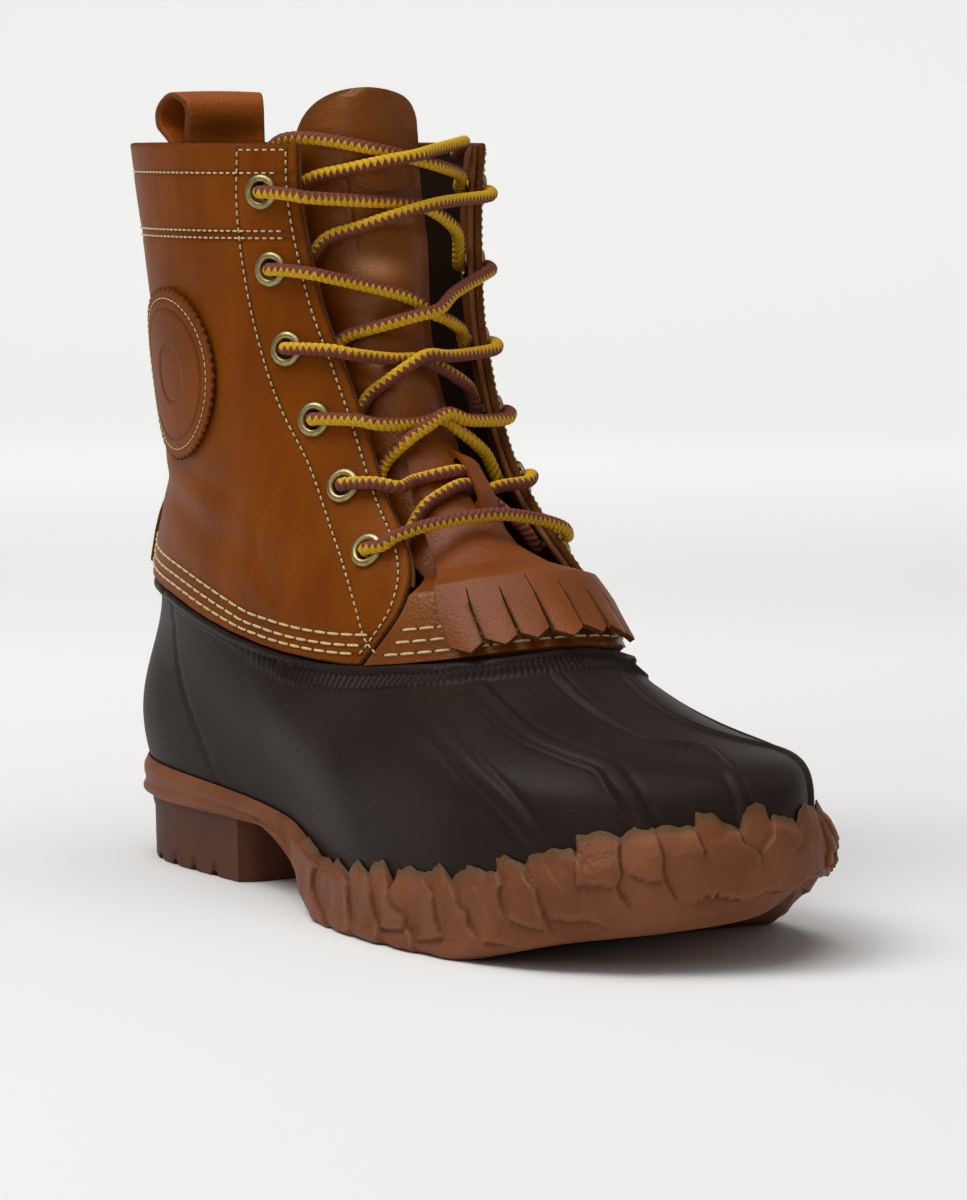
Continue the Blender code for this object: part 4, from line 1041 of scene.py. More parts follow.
# Eyelets: the profile's radius and height carried around each hole's normal
def makeEyelets():
    turn, level = eyeletPlaces()
    n = normalAt(turn, level)
    centre = layerAt(turn, level, shaft["outer"] - 0.15)[:, None, None]
    across = unit(np.cross(n, up))
    circle = circleOf(eyelet["sides"], across, np.cross(across, n))[:, None]
    radius, height = (column[:, None, None] for column in np.array(eyelet["profile"]).T)
    points = centre + circle * radius + n[:, None, None] * height
    one = ringFaces(len(radius), eyelet["sides"], True)
    faces = (one + (np.arange(12) * len(radius) * eyelet["sides"])[:, None, None]).reshape(-1, 4)
    names = ["eyelet_%s_%d" % (side, k) for side in ("lateral", "medial") for k in range(1, 7)]
    makePiece("brass_eyelets", points, faces, brass, names)


makeEyelets()


# Tongue: its base strip lies on the rubber, the rest arches behind the throat; wrinkles lie across its middle
tongue = {
    "rows": 215, "columns": 104, "lift": 0.6, "wall": 2.0, "drop": 12.2, "arch": 5.8, "archHigh": 0.92,
    # level, lateral and medial margin beyond the throat, share of the drop, crown
    "shape": np.array([
        [1.0, -.5, -.5, 0, 0], [1.5, -.5, -.5, 0, 0], [2.1, -.6, -.6, 0, 0], [2.35, -1, -3, .62, 2.6],
        [2.6, 6, -3, 1, 4.9], [3, 12, -5, 1, 5.2], [3.4, 13, -9, 1, 5.2], [3.8, 13, -14, 1, 5.2],
        [4.8, 8, -17, 1, 5.2], [5.8, 9, -25, 1, 5.2], [6.2, 6, -33, .97, 4.8], [6.45, -2, -37, .85, 3.3],
        [6.6, -10, -40, .75, 2.1], [6.7, -19, -45, .68, 1.0]], float),
    # level, depth, lean and bow of the wrinkles
    "wrinkles": [(4.32, 0.5, 6, 2), (5.06, 0.5, -5, 6), (3.72, 0.45, -5, 3), (3.98, 0.5, 6, 4)],
    # turn, level, half width and half height in mm, height of the bulge and the dents under the lace
    "bulges": [(167, 4.52, 11, 5.5, 2.8), (174, 4.24, 5, 4, -2.0), (181, 4.2, 3, 5, 1.5),
               (169, 3.7, 8, 5, 1.3)],
    # mm to a degree of turn on its face
    "degree": 0.62, "stampLevel": 5.62, "stampTurn": 172.0, "baseRows": (3.3, 7.0, 10.8),
}


# Half turns of the tongue's sides: the throat plus the table's margins
def tongueMargins(level):
    shape = tongue["shape"]
    return (throatAt(level) + np.interp(level, shape[:, 0], shape[:, k]) for k in (1, 2))


# Turns of the tongue's edges on both sides of the front: its margins, then half an ellipse on top
def tongueEdges(level):
    lateral, medial = tongueMargins(level)
    high = (level - tongue["arch"]) / tongue["archHigh"]
    half = 30 * np.clip(1 - np.clip(high, 0, 1) ** 2.4, 0, 1) ** 0.46
    middle = -17 + 4 * high
    return np.where(high > 0, half - middle, lateral), np.where(high > 0, half + middle, medial)


# Height of the tongue's face over the skin: lift and wall less the drop, plus a crown between its edges
def tongueHeight(turn, level):
    shape = tongue["shape"]
    lateral, medial = tongueMargins(level)
    share = (turn - 180 - (medial - lateral) / 2) / ((medial + lateral) / 2)
    drop, crown = (np.interp(level, shape[:, 0], shape[:, k]) for k in (3, 4))
    return tongue["lift"] + tongue["wall"] - drop * tongue["drop"] + crown * np.clip(1 - share ** 2, 0, 1) ** 2


# Tongue: a grid between its edges at the tongue's height, plus bulges and swells, less wrinkles, fold and stamp
def makeTongue():
    rows, columns, degree = tongue["rows"], tongue["columns"], tongue["degree"]
    crest = tongue["arch"] + tongue["archHigh"] * np.sin(np.linspace(0, 0.995, 70) * np.pi / 2)
    level = np.r_[np.linspace(1.0, tongue["arch"], rows - 69)[:-1], crest][:, None]
    lateral, medial = tongueEdges(level)
    wide = edgedSteps(columns, 2.0, (0, .01, .022, .04, .065, .1)) - 1
    spread = (medial + lateral) / 2
    turn = 180 + (medial - lateral) / 2 + spread * wide
    face = tongueHeight(turn, level)
    relief, worn = np.zeros((2,) + turn.shape)
    for where, deep, lean, bow in tongue["wrinkles"]:
        line = (level - where) * 34 - lean * wide - bow * wide ** 2
        relief += deep * (0.7 * hill(line - 3.6, 2.4) - hill(line, 1.7)) * ramp(-np.abs(wide), -1, -0.3)
    for where, high, across, tall, lift in tongue["bulges"]:
        x, y = (turn - where) * degree / across, (level - high) * 30 / tall
        relief += lift * hill(np.hypot(x, y), 1.0)
        # over each raised bulge, a paler spot of painted highlight
        if lift > 0:
            bow = 0.55 + 0.3 * ((turn - where) / 15) ** 2
            worn += lift / 2.8 * hill(np.hypot(x + degree / across, y - bow), 0.5)
    relief += 0.25 * np.sin(level * 5 + wide * 3) * ramp(level, 2.7, 3.2)
    # fold that runs down the lateral third
    fold = (turn - 158 - 2.5 * (5.4 - level)) * degree
    crease = 0.5 * hill(fold + 1.2, 1.2) - 0.8 * hill(fold, 0.8)
    relief += crease * ramp(level, 4.7, 5.0) * ramp(-level, -5.95, -5.6)
    # plain oval stamp
    oval = np.hypot((turn - tongue["stampTurn"]) * degree / 10, (level - tongue["stampLevel"]) * 26 / 6.5)
    pressed = np.clip(hill(oval - 1, 0.07) + 0.8 * hill(oval - 0.8, 0.045), 0, 1)
    relief -= 0.35 * pressed
    edge = np.minimum((1 - np.abs(wide)) * spread * 0.7, (6.72 - level) * 23)
    thick = tongue["wall"] / 2
    full = thick * edgeRound(edge, 1.2, 0.3)
    pair = np.stack([layerAt(turn, level, face - thick + side * full + relief) for side in (1, -1)])
    cut = hill(edge, 0.6)
    fields = {"pressed": np.stack([pressed, 0 * pressed]), "cut": np.stack([cut, 0.3 + 0.7 * cut]),
              "lining": np.stack([0 * cut, 1 - cut]), "worn": np.stack([np.clip(worn, 0, 1), 0 * worn])}
    makePiece("tongue_leather", pair, sheetFaces(rows, columns), tongueLeather, ["tongue"],
              fields=fields, crease=55)
    # rows that carry on the leg's lower rows
    low, around = np.linspace(1.01, 2.0, 60), np.linspace(126, 234, 120)
    rise = lengthAlong(skinAt(around, low[:, None]))
    for d in tongue["baseRows"]:
        at = np.array([np.interp(d, rise[:, c], low) for c in range(120)])
        keep = np.abs(around - 180) < throatAt(at) - 4
        sewRow(around[keep], at[keep], tongue["lift"] + tongue["wall"], *shaft["footStitch"])


makeTongue()


# Kiltie: a flap over the tongue that ends in seven strips; two slits let the lace pass under a raised strap
kiltie = {
    "strips": 7, "across": 15, "wall": 1.6, "gap": 0.6, "lean": -2.0, "top": 3.35, "root": 2.02,
    # level where the strips leave the boot and run straight on, their length, rows below and above it
    "leave": 1.8, "length": 14.8, "rows": (40, 78),
    # strap over the lace: its first and last strip, the slits' levels, its height
    "strap": (4, 6), "slits": (2.86, 3.2), "strapLift": 4.4,
    # level, half width, flare
    "shape": np.array([
        [.97, 37, 3], [1.3, 35, 2], [1.6, 33, 1.2], [1.8, 32, .9], [2.1, 30, .5], [2.35, 27, .2],
        [2.6, 24, 0],
        [3, 20, 0], [3.35, 16, 0]], float),
}


# Height of the kiltie's underside over the skin: the tongue, a gap, the flare and the strap's rise
def kiltieBase(turn, level, wide, flare):
    strap = (wide + 1) / 2 * kiltie["strips"]
    first, final = kiltie["strap"]
    arch = ramp(level, 2.66, 2.94) * ramp(-level, -3.34, -3.12)
    on = (strap >= first) * ramp(-strap, -final - 0.9, -final + 0.2)
    feather = 0.5 * ramp(level, 3.15, 3.35)
    return tongueHeight(turn, level) + kiltie["gap"] - feather + flare + kiltie["strapLift"] * arch * on


# Kiltie: strips side by side on the tongue's height, slit apart below the root;
# below the leaving level they run straight on, each a little lifted, tilted and bowed
def makeKiltie():
    strips, across = kiltie["strips"], kiltie["across"]
    free, held = kiltie["rows"]
    k = np.repeat(np.arange(strips), across)
    f = np.tile(edgedSteps(across, 2.0, (0, .05, .14)) - 1, strips)
    # chisel-cut ends: longest off the middle, a straight cut to each side
    reach = kiltie["length"] + 0.7 * np.sin(k * 2.4 + 1) - 3.4 * np.abs(f - 0.15 * np.sin(k * 1.7 + 1))
    share = np.r_[np.linspace(1, 0, free, endpoint=False), np.zeros(held)][:, None]
    level = np.r_[np.full(free, kiltie["leave"]), np.linspace(kiltie["leave"], kiltie["top"], held)][:, None]
    level = np.broadcast_to(level, (free + held, strips * across))
    run = share * reach
    half, flare = np.moveaxis(tableCurve(kiltie["shape"], level), -1, 0)
    gone = 0.75 * run / kiltie["length"] + 0.25 * ramp(-level, -kiltie["root"], -kiltie["leave"])
    gone = np.clip(gone, 0, 1)
    spread = -1 + (2 * k + 1 + 0.965 * f * (1 - 0.075 * gone)) / strips
    turn = 180 + kiltie["lean"] + half * spread
    # fine wrinkles beside the strap
    beside = ramp(level, 2.6, 2.9) * ramp(-np.abs(spread + 0.3), -0.6, -0.2)
    base = 0.13 * np.sin(level * 37 + spread * 5 + np.sin(spread * 9)) * beside
    base = base + kiltieBase(turn, level, spread, flare)
    wall = kiltie["wall"] * (1 - 0.8 * ramp(level, 3.2, 3.35))
    ahead = unit(layerAt(turn, level - 0.03, base) - layerAt(turn, level + 0.03, base))
    lift = run * (0.05 + 0.05 * np.sin(k * 2.9 + 0.5))
    lift = lift + run / kiltie["length"] * (0.5 * f * np.sin(k * 1.9 + 1.2) - 0.7 * f * f)
    moved = ahead * run[..., None] + normalAt(turn, level) * lift[..., None]
    pair = np.stack([layerAt(turn, level, base + thick) + moved for thick in (wall, 0)])
    keep = np.ones((free + held - 1, strips * across - 1), bool)
    column = np.arange(strips * across - 1)
    middle = (level[:-1, :-1] + level[1:, 1:]) / 2
    keep[(column % across == across - 1) & (middle < kiltie["root"] - 0.06 * np.sin(k[:-1] * 2.2))] = False
    slits = np.isin(column, [s * across - 1 for s in kiltie["strap"]])
    keep[slits & (middle > kiltie["slits"][0]) & (middle < kiltie["slits"][1])] = False
    side = (1 - np.abs(f)) * half * 0.75 / strips + 6 * (1 - ramp(gone, 0, 0.2))
    side = np.minimum(side, reach - run + 9 * (share == 0))
    cut = hill(np.minimum((1 - np.abs(spread)) * half * 0.75, side), 0.35)
    makePiece("kiltie_fringe", pair, sheetFaces(*level.shape, keep), fringeLeather, ["kiltie"],
              fields={"cut": np.stack([cut, 0.5 + 0.5 * cut])}, crease=45)


makeKiltie()


# Back stay: a strip over the rear seam, sewn down both sides
stay = {
    "low": 3.45, "high": 4.85, "levels": (1.06, 3.5), "rows": 90, "columns": 60, "row": 2.6, "pitch": 3.6,
    # level, half turn
    "half": [[1.06, 28], [2.0, 27], [3.0, 24], [3.5, 22]],
}


# Back stay: a grid across the heel between two heights over the skin, rounded at its edges
def makeBackStay():
    level = np.repeat(np.linspace(*stay["levels"], stay["rows"])[:, None], stay["columns"], 1)
    half = tableCurve(stay["half"], level)
    turn = half * (edgedSteps(stay["columns"], 2.0, (0, .006, .014, .026, .045, .07)) - 1)
    rise = lengthAlong(skinAt(turn, level))
    side = (half - np.abs(turn)) * degreeWidth(turn, level)
    edge = np.minimum(np.minimum(side, rise), rise[-1:] - rise)
    press = hill(side - stay["row"], 0.8)
    middle, thick = (stay["low"] + stay["high"]) / 2, (stay["high"] - stay["low"]) / 2
    full = thick * edgeRound(edge, 0.9, 0.3)
    pair = np.stack([layerAt(turn, level, middle + full - 0.2 * press), layerAt(turn, level, middle - full)])
    cut = hill(edge, 0.6)
    makePiece("back_strip", pair, sheetFaces(*turn.shape), leather, ["back_stay"],
              fields={"pressed": np.stack([press, 0 * press]), "cut": np.stack([cut, cut])}, crease=55)
    climb = np.linspace(1.1, 3.45, 160)
    for sign in (1, -1):
        inset = tableCurve(stay["half"], climb) - stay["row"] / 0.72
        sewRow(sign * inset, climb, stay["high"], stay["pitch"])
    sewRow(np.linspace(-20, 20, 60), 3.43, stay["high"], stay["pitch"])


makeBackStay()


# Pull loop: a strap that stands over the rear collar, both ends sewn to the leg
loop = {
    "half": 17.0, "lean": -3.0, "thick": 1.0, "along": 110, "across": 50, "straight": 48.0, "pitch": 3.4,
    # mm to a level, lower and upper level of its sewn box
    "rise": 23.0, "box": (5.32, 5.86),
    # level and offset of its centre line
    "line": np.array([
        [5.2, 4.7], [5.7, 4.7], [6.02, 4.9], [6.3, 7.6], [6.51, 6.6], [6.63, 1.3], [6.51, -4.2],
        [6.3, -5.4], [6.02, -2.2],
        [5.7, -1.3], [5.2, -1.3]], float),
}


# Pull loop: its centre line thickened to both sides and carried across the heel;
# over the collar the strap straightens by one minus the cosine of the turn
def makeLoop():
    line = np.c_[loop["line"][:, 0] * loop["rise"], loop["line"][:, 1]]
    line = rowCurve(line, np.linspace(0, len(line) - 1, loop["along"]))
    ahead = unit(np.gradient(line, axis=0))
    side = np.stack([-ahead[:, 1], ahead[:, 0]], 1)
    wide = edgedSteps(loop["across"], 2.0, (0, .008, .02, .04, .07)) - 1
    span = loop["half"] * wide
    run = lengthAlong(line)
    edge = np.minimum((1 - np.abs(wide)) * loop["half"], np.minimum(run, run[-1] - run)[:, None])
    full = loop["thick"] * edgeRound(edge, 0.9, 0.35)
    pair = []
    for sign in (-1, 1):
        track = line[:, None] + side[:, None] * (sign * full)[..., None]
        high = track[..., 0] / loop["rise"]
        lean = np.clip((high - 6.0) / 0.25, 0, 1) * loop["straight"] * (1 - np.cos(np.radians(span)))
        pair.append(layerAt(loop["lean"] + span, high, track[..., 1] + lean))
    cut = hill(edge, 0.5)
    makePiece("pull_strap", np.stack(pair), sheetFaces(*edge.shape), litLoopLeather, ["pull_loop"],
              fields={"cut": np.stack([cut, cut])}, crease=55)
    top = loop["line"][0, 1] + loop["thick"]
    for level in loop["box"]:
        sewRow(loop["lean"] + np.linspace(-14.6, 14.6, 50), level, top, loop["pitch"])
    for sign in (1, -1):
        sewRow(loop["lean"] + sign * 15.0, np.linspace(*loop["box"], 30), top, loop["pitch"])


makeLoop()


# Turn and level of points at a distance across and up from a start point, by Newton steps on the skin
def aroundPoint(turn, level, across, rise):
    origin = skinAt(turn, level)
    side = unit(degreeStep(turn, level))
    lift = np.cross(normalAt(turn, level), side)
    lift = lift * np.sign(lift[2])
    t, v = np.full(across.shape, float(turn)), np.full(across.shape, float(level))
    for step in range(6):
        here = skinAt(t, v) - origin
        dt = (skinAt(t + 0.2, v) - skinAt(t - 0.2, v)) / 0.4
        dv = (skinAt(t, v + 0.01) - skinAt(t, v - 0.01)) / 0.02
        a, b, c, d = dt @ side, dv @ side, dt @ lift, dv @ lift
        e, f = across - here @ side, rise - here @ lift
        t, v = t + (e * d - b * f) / (a * d - b * c), v + (a * f - e * c) / (a * d - b * c)
    return t, v


# Round patch: pinked edge, sewn ring and plain pressed rings
patch = {"turn": 78.0, "level": 3.76, "radius": 25.2, "teeth": 56, "tooth": 0.9, "low": 3.45, "high": 4.75,
         "sewn": 22.3, "stitch": (2.2, 0.8, 0.21), "rings": ((19.4, 0.55), (8.2, 0.45)), "sides": 224}


# Patch: rings of points about its middle, toothed at the rim, domed, less the pressed rings
def makePatch():
    sides = patch["sides"]
    angle = np.arange(sides) * 2 * np.pi / sides
    radius = np.r_[np.linspace(1.2, 23.6, 50), [24.2, 24.7, 25.0, patch["radius"]]][:, None]
    tooth = patch["tooth"] * (np.abs(2 * ((angle * patch["teeth"] / (2 * np.pi)) % 1) - 1) - 0.5)
    r = radius + ramp(radius, patch["sewn"] + 0.2, patch["radius"]) * tooth
    turn, level = aroundPoint(patch["turn"], patch["level"], r * np.cos(angle), r * np.sin(angle))
    press = sum(hill(radius - at, wide) for at, wide in patch["rings"])
    press = np.clip(press + 0.6 * hill(radius - patch["sewn"], 0.6) + 0 * angle, 0, 1)
    edge = patch["radius"] - radius + 0 * angle
    thin = 0.65 * (1 - edgeRound(edge, 0.8, 0.35))
    dome = 0.25 * (1 - (radius / patch["radius"]) ** 2) - 0.35 * ramp(-radius, -8.2, -7.6)
    top = layerAt(turn, level, patch["high"] - thin + dome - 0.32 * press)
    low = layerAt(turn, level, patch["low"] + thin)
    points = np.concatenate([top, low[::-1]])
    rows = len(points)
    faces = [ringFaces(rows, sides)[:, ::-1], np.arange(sides)[None, :],
             (rows - 1) * sides + np.arange(sides)[None, ::-1]]
    cut = hill(edge, 0.6)
    makePiece("round_patch", points, faces, leather, ["badge_patch"], crease=55,
              fields={"pressed": np.concatenate([press, 0 * press]), "cut": np.concatenate([cut, cut])})
    angle = np.linspace(0, 2 * np.pi, 181)
    x, y = patch["sewn"] * np.cos(angle), patch["sewn"] * np.sin(angle)
    sewRow(*aroundPoint(patch["turn"], patch["level"], x, y), patch["high"], *patch["stitch"])


makePatch()


# Lace: one cord from the lateral collar end, down through the eyelets, over the kiltie and up the other side
lace = {
    # heights of the cord inside the leg and over its edge, rise where one run crosses the other
    "under": -4.05, "over": 5.1, "cross": 3.9, "sides": 18, "step": 0.5, "lobe": 0.045,
    # crossing below each eyelet row: share of the rise and turn where the two runs meet
    "meets": np.array([[.79, 7], [.50, 7], [.92, -2], [1.10, 1]], float),
    # half turns of the cord that put yellow or maroon on top: runs to the medial side, runs to the lateral side
    "flips": ((0, 0, 0, 0, 0), (0.5, 0, 0, 0, 0)),
}


# Height at which the cord rests on the tongue, or on the kiltie where that covers it
def restAt(turn, level):
    cover = kiltie["gap"] + kiltie["wall"] + 0.1
    on = (level < 3.4) & (np.abs(turn - kiltie["lean"]) < tableCurve(kiltie["shape"], level)[..., 0] + 1)
    rest = float(tongueHeight(180.0 + turn, level)) + cover * float(on) + 0.2 + cord["radius"]
    return max(rest, lace["under"])


# Rows of turn from the front, level, height and flip: through the eyelet, then inside to the throat's edge
def innerEnd(sign, k, flip):
    level, turn = shaft["eyelets"][k]
    edge = float(throatAt(level, sign))
    turn = turn + edge - float(throatAt(level))
    rows = ((turn, 0, 4.4), (turn, 0, 1.0), (turn - 0.8, 0, -2.4), (edge + 5, 0.04, lace["under"]))
    return [[sign * t, level + v, h, flip] for t, v, h in rows], edge


# Rows over the throat's edge to the outside of an eyelet, by shares of the rise from the lower level
def outerEnd(sign, k, low, flip):
    level, turn = shaft["eyelets"][k]
    edge, over = float(throatAt(level, sign)), lace["over"]
    turn = turn + edge - float(throatAt(level))
    rows = ((edge - 5, 0.9, over - 1.4), (edge + 1, 0.95, over + 0.2), (turn - 5.5, 0.99, over))
    return [[sign * t, low + share * (level - low), h, flip] for t, share, h in rows]


# Run from inside eyelet k + 1 on one side, over the tongue, to the outside of eyelet k on the other
def crossingRows(k, sign, flip):
    eyes = shaft["eyelets"]
    low, step = eyes[k + 1, 0], eyes[k, 0] - eyes[k + 1, 0]
    rows, near = innerEnd(sign, k + 1, flip)
    start = sign * (near - 4)
    if k == 4:
        # under the strap of the kiltie
        bare = lambda t, v: float(tongueHeight(180.0 + t, v)) + 0.3 + cord["radius"]
        over = lambda *places: [[t, v, restAt(t, v), flip] for t, v in places]
        under = lambda *places: [[t, v, bare(t, v), flip] for t, v in places]
        rows.append([start, 2.7, lace["under"], flip])
        if sign < 0:
            rows += over((-20, 2.84), (-8, 2.94), (-1, 2.98)) + under((4, 2.985), (9, 2.985), (14, 2.98))
            rows.append([22, 2.97, -2.0, flip])
        else:
            rows += under((16, 3.0), (10, 3.085), (4, 3.09)) + over((-1, 3.09), (-10, 3.06), (-20, 3.03))
        return rows + outerEnd(-sign, k, low, flip)
    share, meet = lace["meets"][k]
    raised = lace["cross"] if sign < 0 else 0.0
    rows.append([start, low + 0.45 * share * step, lace["under"], flip])
    early, before = start + 0.35 * (meet - start), start + 0.7 * (meet - start)
    for turn, rise, part in ((early, 0.65 * share, 0.2), (before, 0.85 * share, 0.7), (meet, share, 1.0),
                             (meet - 13 * sign, 0.5 * share + 0.45, 0.8)):
        level = low + rise * step
        rows.append([turn, level, restAt(turn, level) + part * raised, flip])
    return rows + outerEnd(-sign, k, low, flip)


# Rows of the whole lace: lateral end, runs down, the bar over the lowest pair, runs up, medial end
def laceRows():
    under, over = lace["under"], lace["over"]
    lateralSide, medialSide = [], []
    for k in range(4, -1, -1):
        sign = -1 if k % 2 == 0 else 1
        lateralSide += crossingRows(k, sign, lace["flips"][(1 + sign) // 2][k])
        medialSide += crossingRows(k, -sign, lace["flips"][(1 - sign) // 2][k])
    rows, edge = innerEnd(1, 0, 0.0)
    lateralSide += rows + [[edge - 4, 5.56, under, 0]]
    lateralSide += [[t, v, restAt(t, v), 0] for t, v in ((16, 5.72), (0, 5.84), (-16, 5.96))]
    lateralSide += [[-34, 6.07, under, 0], [-46, 6.06, under, 0], [-54, 5.9, under - 1.5, 0]]
    rows, edge = innerEnd(-1, 0, 0.5)
    medialSide += rows + [[-(edge - 4), 5.56, under, 0.5]]
    rows = ((-24, 5.66, 0.6), (-12, 5.76, 2.6), (0, 5.84, lace["cross"]))
    medialSide += [[t, v, restAt(t, v) + h, 0.5] for t, v, h in rows]
    rows = ((14, 5.92, 0), (edge + 4, 6.0, 0), (edge + 10, 5.98, 0), (edge + 16, 5.8, -1.5))
    medialSide += [[t, v, under + h, 0.5] for t, v, h in rows]
    level, turn = shaft["eyelets"][5]
    edge = float(throatAt(level))
    rows = ((5.5 - turn, 0, 0, -0.1), (-edge - 1, 0.05, 0.2, -0.12), (-22, 0.15, -2.6, -0.14),
            (0, 0.2, -3.0, -0.16), (22, 0.15, -2.6, -0.14), (edge + 1, 0.05, 0.2, -0.1),
            (turn - 5.5, 0, 0, -0.1))
    bar = [[t, level + v, over + h, flip] for t, v, h, flip in rows]
    return np.array(lateralSide[::-1] + bar + medialSide, float)


# Lace: a round section with low braid lobes carried along the cubic through its rows;
# its colours keep their angle to the skin's normal
def makeLace():
    marks = laceRows()
    fine = np.linspace(0, len(marks) - 1, len(marks) * 30)
    path = rowCurve(layerAt(180 + marks[:, 0], marks[:, 1], marks[:, 2]), fine)
    outward = rowCurve(normalAt(180 + marks[:, 0], marks[:, 1]), fine)
    run = lengthAlong(path)
    count = int(run[-1] / lace["step"])
    at = np.linspace(0, run[-1], count)
    path, outward = readAlong(at, run, path), readAlong(at, run, outward)
    flip = np.interp(at, run, np.interp(fine, np.arange(len(marks)), marks[:, 3]))
    smooth = np.hanning(9) / np.hanning(9).sum()
    path[4:-4] = np.stack([np.convolve(path[:, k], smooth, "valid") for k in range(3)], -1)
    ahead = unit(np.gradient(path, axis=0))
    # frame that turns as little as it can: carried along with each step
    side = np.zeros_like(path)
    side[0] = unit(np.cross(ahead[0], up))
    for i in range(1, count):
        side[i] = unit(side[i - 1] - ahead[i] * (side[i - 1] @ ahead[i]))
    lift = np.cross(ahead, side)
    # angle of the skin's normal in that frame, read where the cord lies along the skin
    a, b = (outward * side).sum(1), (outward * lift).sum(1)
    lies = np.hypot(a, b) > 0.75
    outside = np.interp(at, at[lies], np.unwrap(np.arctan2(b, a)[lies])) / (2 * np.pi)
    sides = lace["sides"]
    u = np.arange(sides + 1) / sides + (flip - outside)[:, None]
    slant = np.abs(2 * (u[:, :-1] % 1) - 1) * cord["slant"]
    lobe = 1 + lace["lobe"] * np.sin(2 * np.pi * (at[:, None] / cord["zigzag"] + slant))
    tube = path[:, None] + circleOf(sides, side, lift) * (cord["radius"] * lobe)[..., None]
    uv = np.stack([u, np.repeat(at[:, None], sides + 1, 1)], -1)
    cell = np.arange(count * (sides + 1)).reshape(count, sides + 1)
    sideUv = uv.reshape(-1, 2)[quadsOf(cell).ravel()]
    caps = [np.arange(sides)[None, ::-1], (count - 1) * sides + np.arange(sides)[None, :]]
    names = ["lace_bar", "lace_top"] + ["lace_cross_%d" % k for k in range(1, 6)]
    makePiece("boot_lace", tube, [ringFaces(count, sides)] + caps, cordFinish, names,
              loopUv=np.concatenate([sideUv, uv[0, :-1][::-1], uv[-1, :-1]]))
    print("lace length", round(run[-1]), "mm")


makeLace()


# All threads as one mesh of small closed tubes, all needle holes as one mesh of low dark lenses of painted
# shade
def makeSewing():
    threads = np.concatenate(sewing["threads"])
    count, rings, sides = len(threads), sewing["rings"], sewing["sides"]
    step = (np.arange(count) * rings * sides)[:, None, None]
    caps = np.stack([np.arange(sides)[::-1], (rings - 1) * sides + np.arange(sides)])
    faces = [(ringFaces(rings, sides) + step).reshape(-1, 4), (caps + step).reshape(-1, sides)]
    makePiece("stitching", threads, faces, thread)
    where, n, ahead = (np.concatenate([h[k] for h in sewing["holes"]]) for k in range(3))
    size = np.concatenate([np.full(len(h[0]), h[3]) for h in sewing["holes"]])[:, None, None] * 1.15
    ahead = unit(ahead)
    ring = circleOf(6, ahead, np.cross(n, ahead))
    where, n = where[:, None], n[:, None]
    lens = np.concatenate([where + ring * size, where + n * 0.09, where - n * 0.2], 1)
    a, b = np.arange(6), (np.arange(6) + 1) % 6
    tri = np.concatenate([np.stack([a, b, a * 0 + 6], -1), np.stack([b, a, a * 0 + 7], -1)])
    faces = (tri + (np.arange(len(lens)) * 8)[:, None, None]).reshape(-1, 3)
    makePiece("needle_holes", lens, faces, holeFinish)
    print("stitches", count)


makeSewing()

# The insole keeps its solid and gets its felt
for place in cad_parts["insole"].material_slots:
    place.material = footbed


# Camera at the photo's angle: seen from the front, turned to the lateral side, a little above the boot
view = {"turn": 31.5, "distance": 1.480, "shift": (0.0105, -0.00191, 0.226), "pitch": 5.4, "lens": 156.0}
spin = np.radians(view["turn"])
right = np.array([np.cos(spin), -np.sin(spin), 0])
nearer = np.array([-np.sin(spin), -np.cos(spin), 0])


# Pale sweep: a disc of floor that curves up behind the boot
studio = {
    "flat": 2.2, "wall": 4.4, "height": 1.3, "sides": 96, "tone": (0.86, 0.855, 0.845, 1),
    "shade": (0.8514, 0.84645, 0.83655, 0.99), "glow": (0.53, 0.53, 0.523, 1),
}


# Paper: one pale tone that glows more the further it lies behind the boot
def paintPaper(wire):
    settings = {"operation": "DOT_PRODUCT"}
    far = wire.node("ShaderNodeVectorMath", settings, {0: wire.place(), 1: tuple(-nearer)}, "Value")
    glow = far.between(0.0, 0.8) * 0.29 + far.between(0.8, 2.0) * 0.57 + far.between(2.0, 3.2) * 0.14
    return {"Base Color": wire.blend(wire.noise(3.0), studio["tone"], studio["shade"]),
            "Roughness": 0.8 + wire.noise(40.0) * 0.1,
            "Emission Color": wire.blend(glow, (0, 0, 0, 1), studio["glow"])}


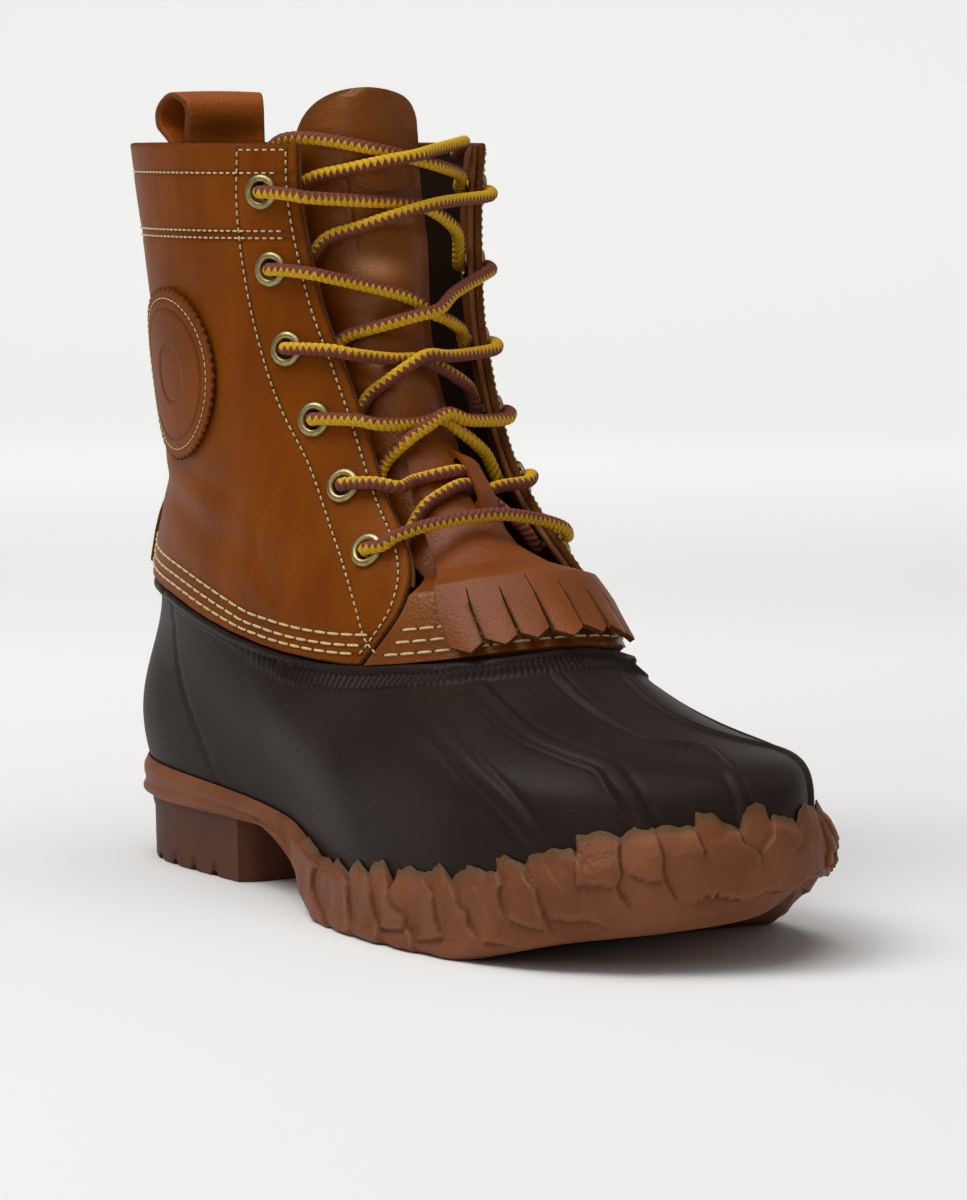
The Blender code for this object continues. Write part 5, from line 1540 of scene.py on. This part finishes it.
# Sweep: rings of points around the boot, raised by a ramp of their distance behind it
def makeStudio():
    r = np.r_[np.linspace(0.02, studio["flat"], 30), np.linspace(studio["flat"], studio["wall"], 40)[1:]]
    r = r[:, None]
    angle = np.arange(studio["sides"]) * 2 * np.pi / studio["sides"]
    x, y = r * np.cos(angle), r * np.sin(angle)
    behind = -x * nearer[0] - y * nearer[1]
    points = np.stack([x, y, studio["height"] * ramp(behind, studio["flat"], studio["wall"] + 0.6) ** 1.5], -1)
    mesh = bpy.data.meshes.new("pale_sweep")
    faces = ringFaces(len(r), studio["sides"]).tolist() + [list(range(studio["sides"] - 1, -1, -1))]
    mesh.from_pydata(points.reshape(-1, 3).tolist(), [], faces)
    mesh.polygons.foreach_set("use_smooth", np.ones(len(faces), bool))
    mesh.materials.append(finishOf("pale_paper", {**gloss(0.2), "Emission Strength": 1.0}, paintPaper))
    floor = bpy.data.objects.new("pale_sweep", mesh)
    bpy.context.scene.collection.objects.link(floor)
    print("sweep ready")


makeStudio()

camera = bpy.data.cameras.new("photo_view")
camera.lens = view["lens"]
camera.clip_end = 60.0
eye = bpy.data.objects.new("photo_view", camera)
eye.location = nearer * view["distance"] + view["shift"]
eye.rotation_euler = (np.radians(90 - view["pitch"]), 0, -spin)
bpy.context.scene.collection.objects.link(eye)
bpy.context.scene.camera = eye

# Soft boxes: place in camera terms (right, towards the camera, up), size and power
lights = {
    "above": ((-0.35, 0.3, 2.3), 2.8, 38.0),
    "key": ((-1.05, 0.25, 1.8), 1.1, 14.0),
    "front": ((-0.7, 1.7, 0.9), 1.2, 3.6),
    "rim": ((1.2, -0.9, 1.1), 1.0, 0.6),
}
for name, (where, size, power) in lights.items():
    lamp = bpy.data.lights.new(name, "AREA")
    lamp.shape, lamp.size, lamp.energy = "DISK", size, power
    item = bpy.data.objects.new(name, lamp)
    place = right * where[0] + nearer * where[1] + up * where[2]
    item.location = place
    aim = np.array([0, 0, 0.1]) - place
    tilt = np.arctan2(np.hypot(aim[0], aim[1]), -aim[2])
    item.rotation_euler = (tilt, 0, np.arctan2(aim[1], aim[0]) - np.pi / 2)
    bpy.context.scene.collection.objects.link(item)
print("camera and lights ready")

# Even white air all around
bpy.context.scene.view_settings.view_transform = "Standard"
world = bpy.data.worlds.new("studio_air")
world.use_nodes = True
world.node_tree.nodes["Background"].inputs["Color"].default_value = (1.0, 0.995, 0.985, 1)
world.node_tree.nodes["Background"].inputs["Strength"].default_value = 0.2
bpy.context.scene.world = world
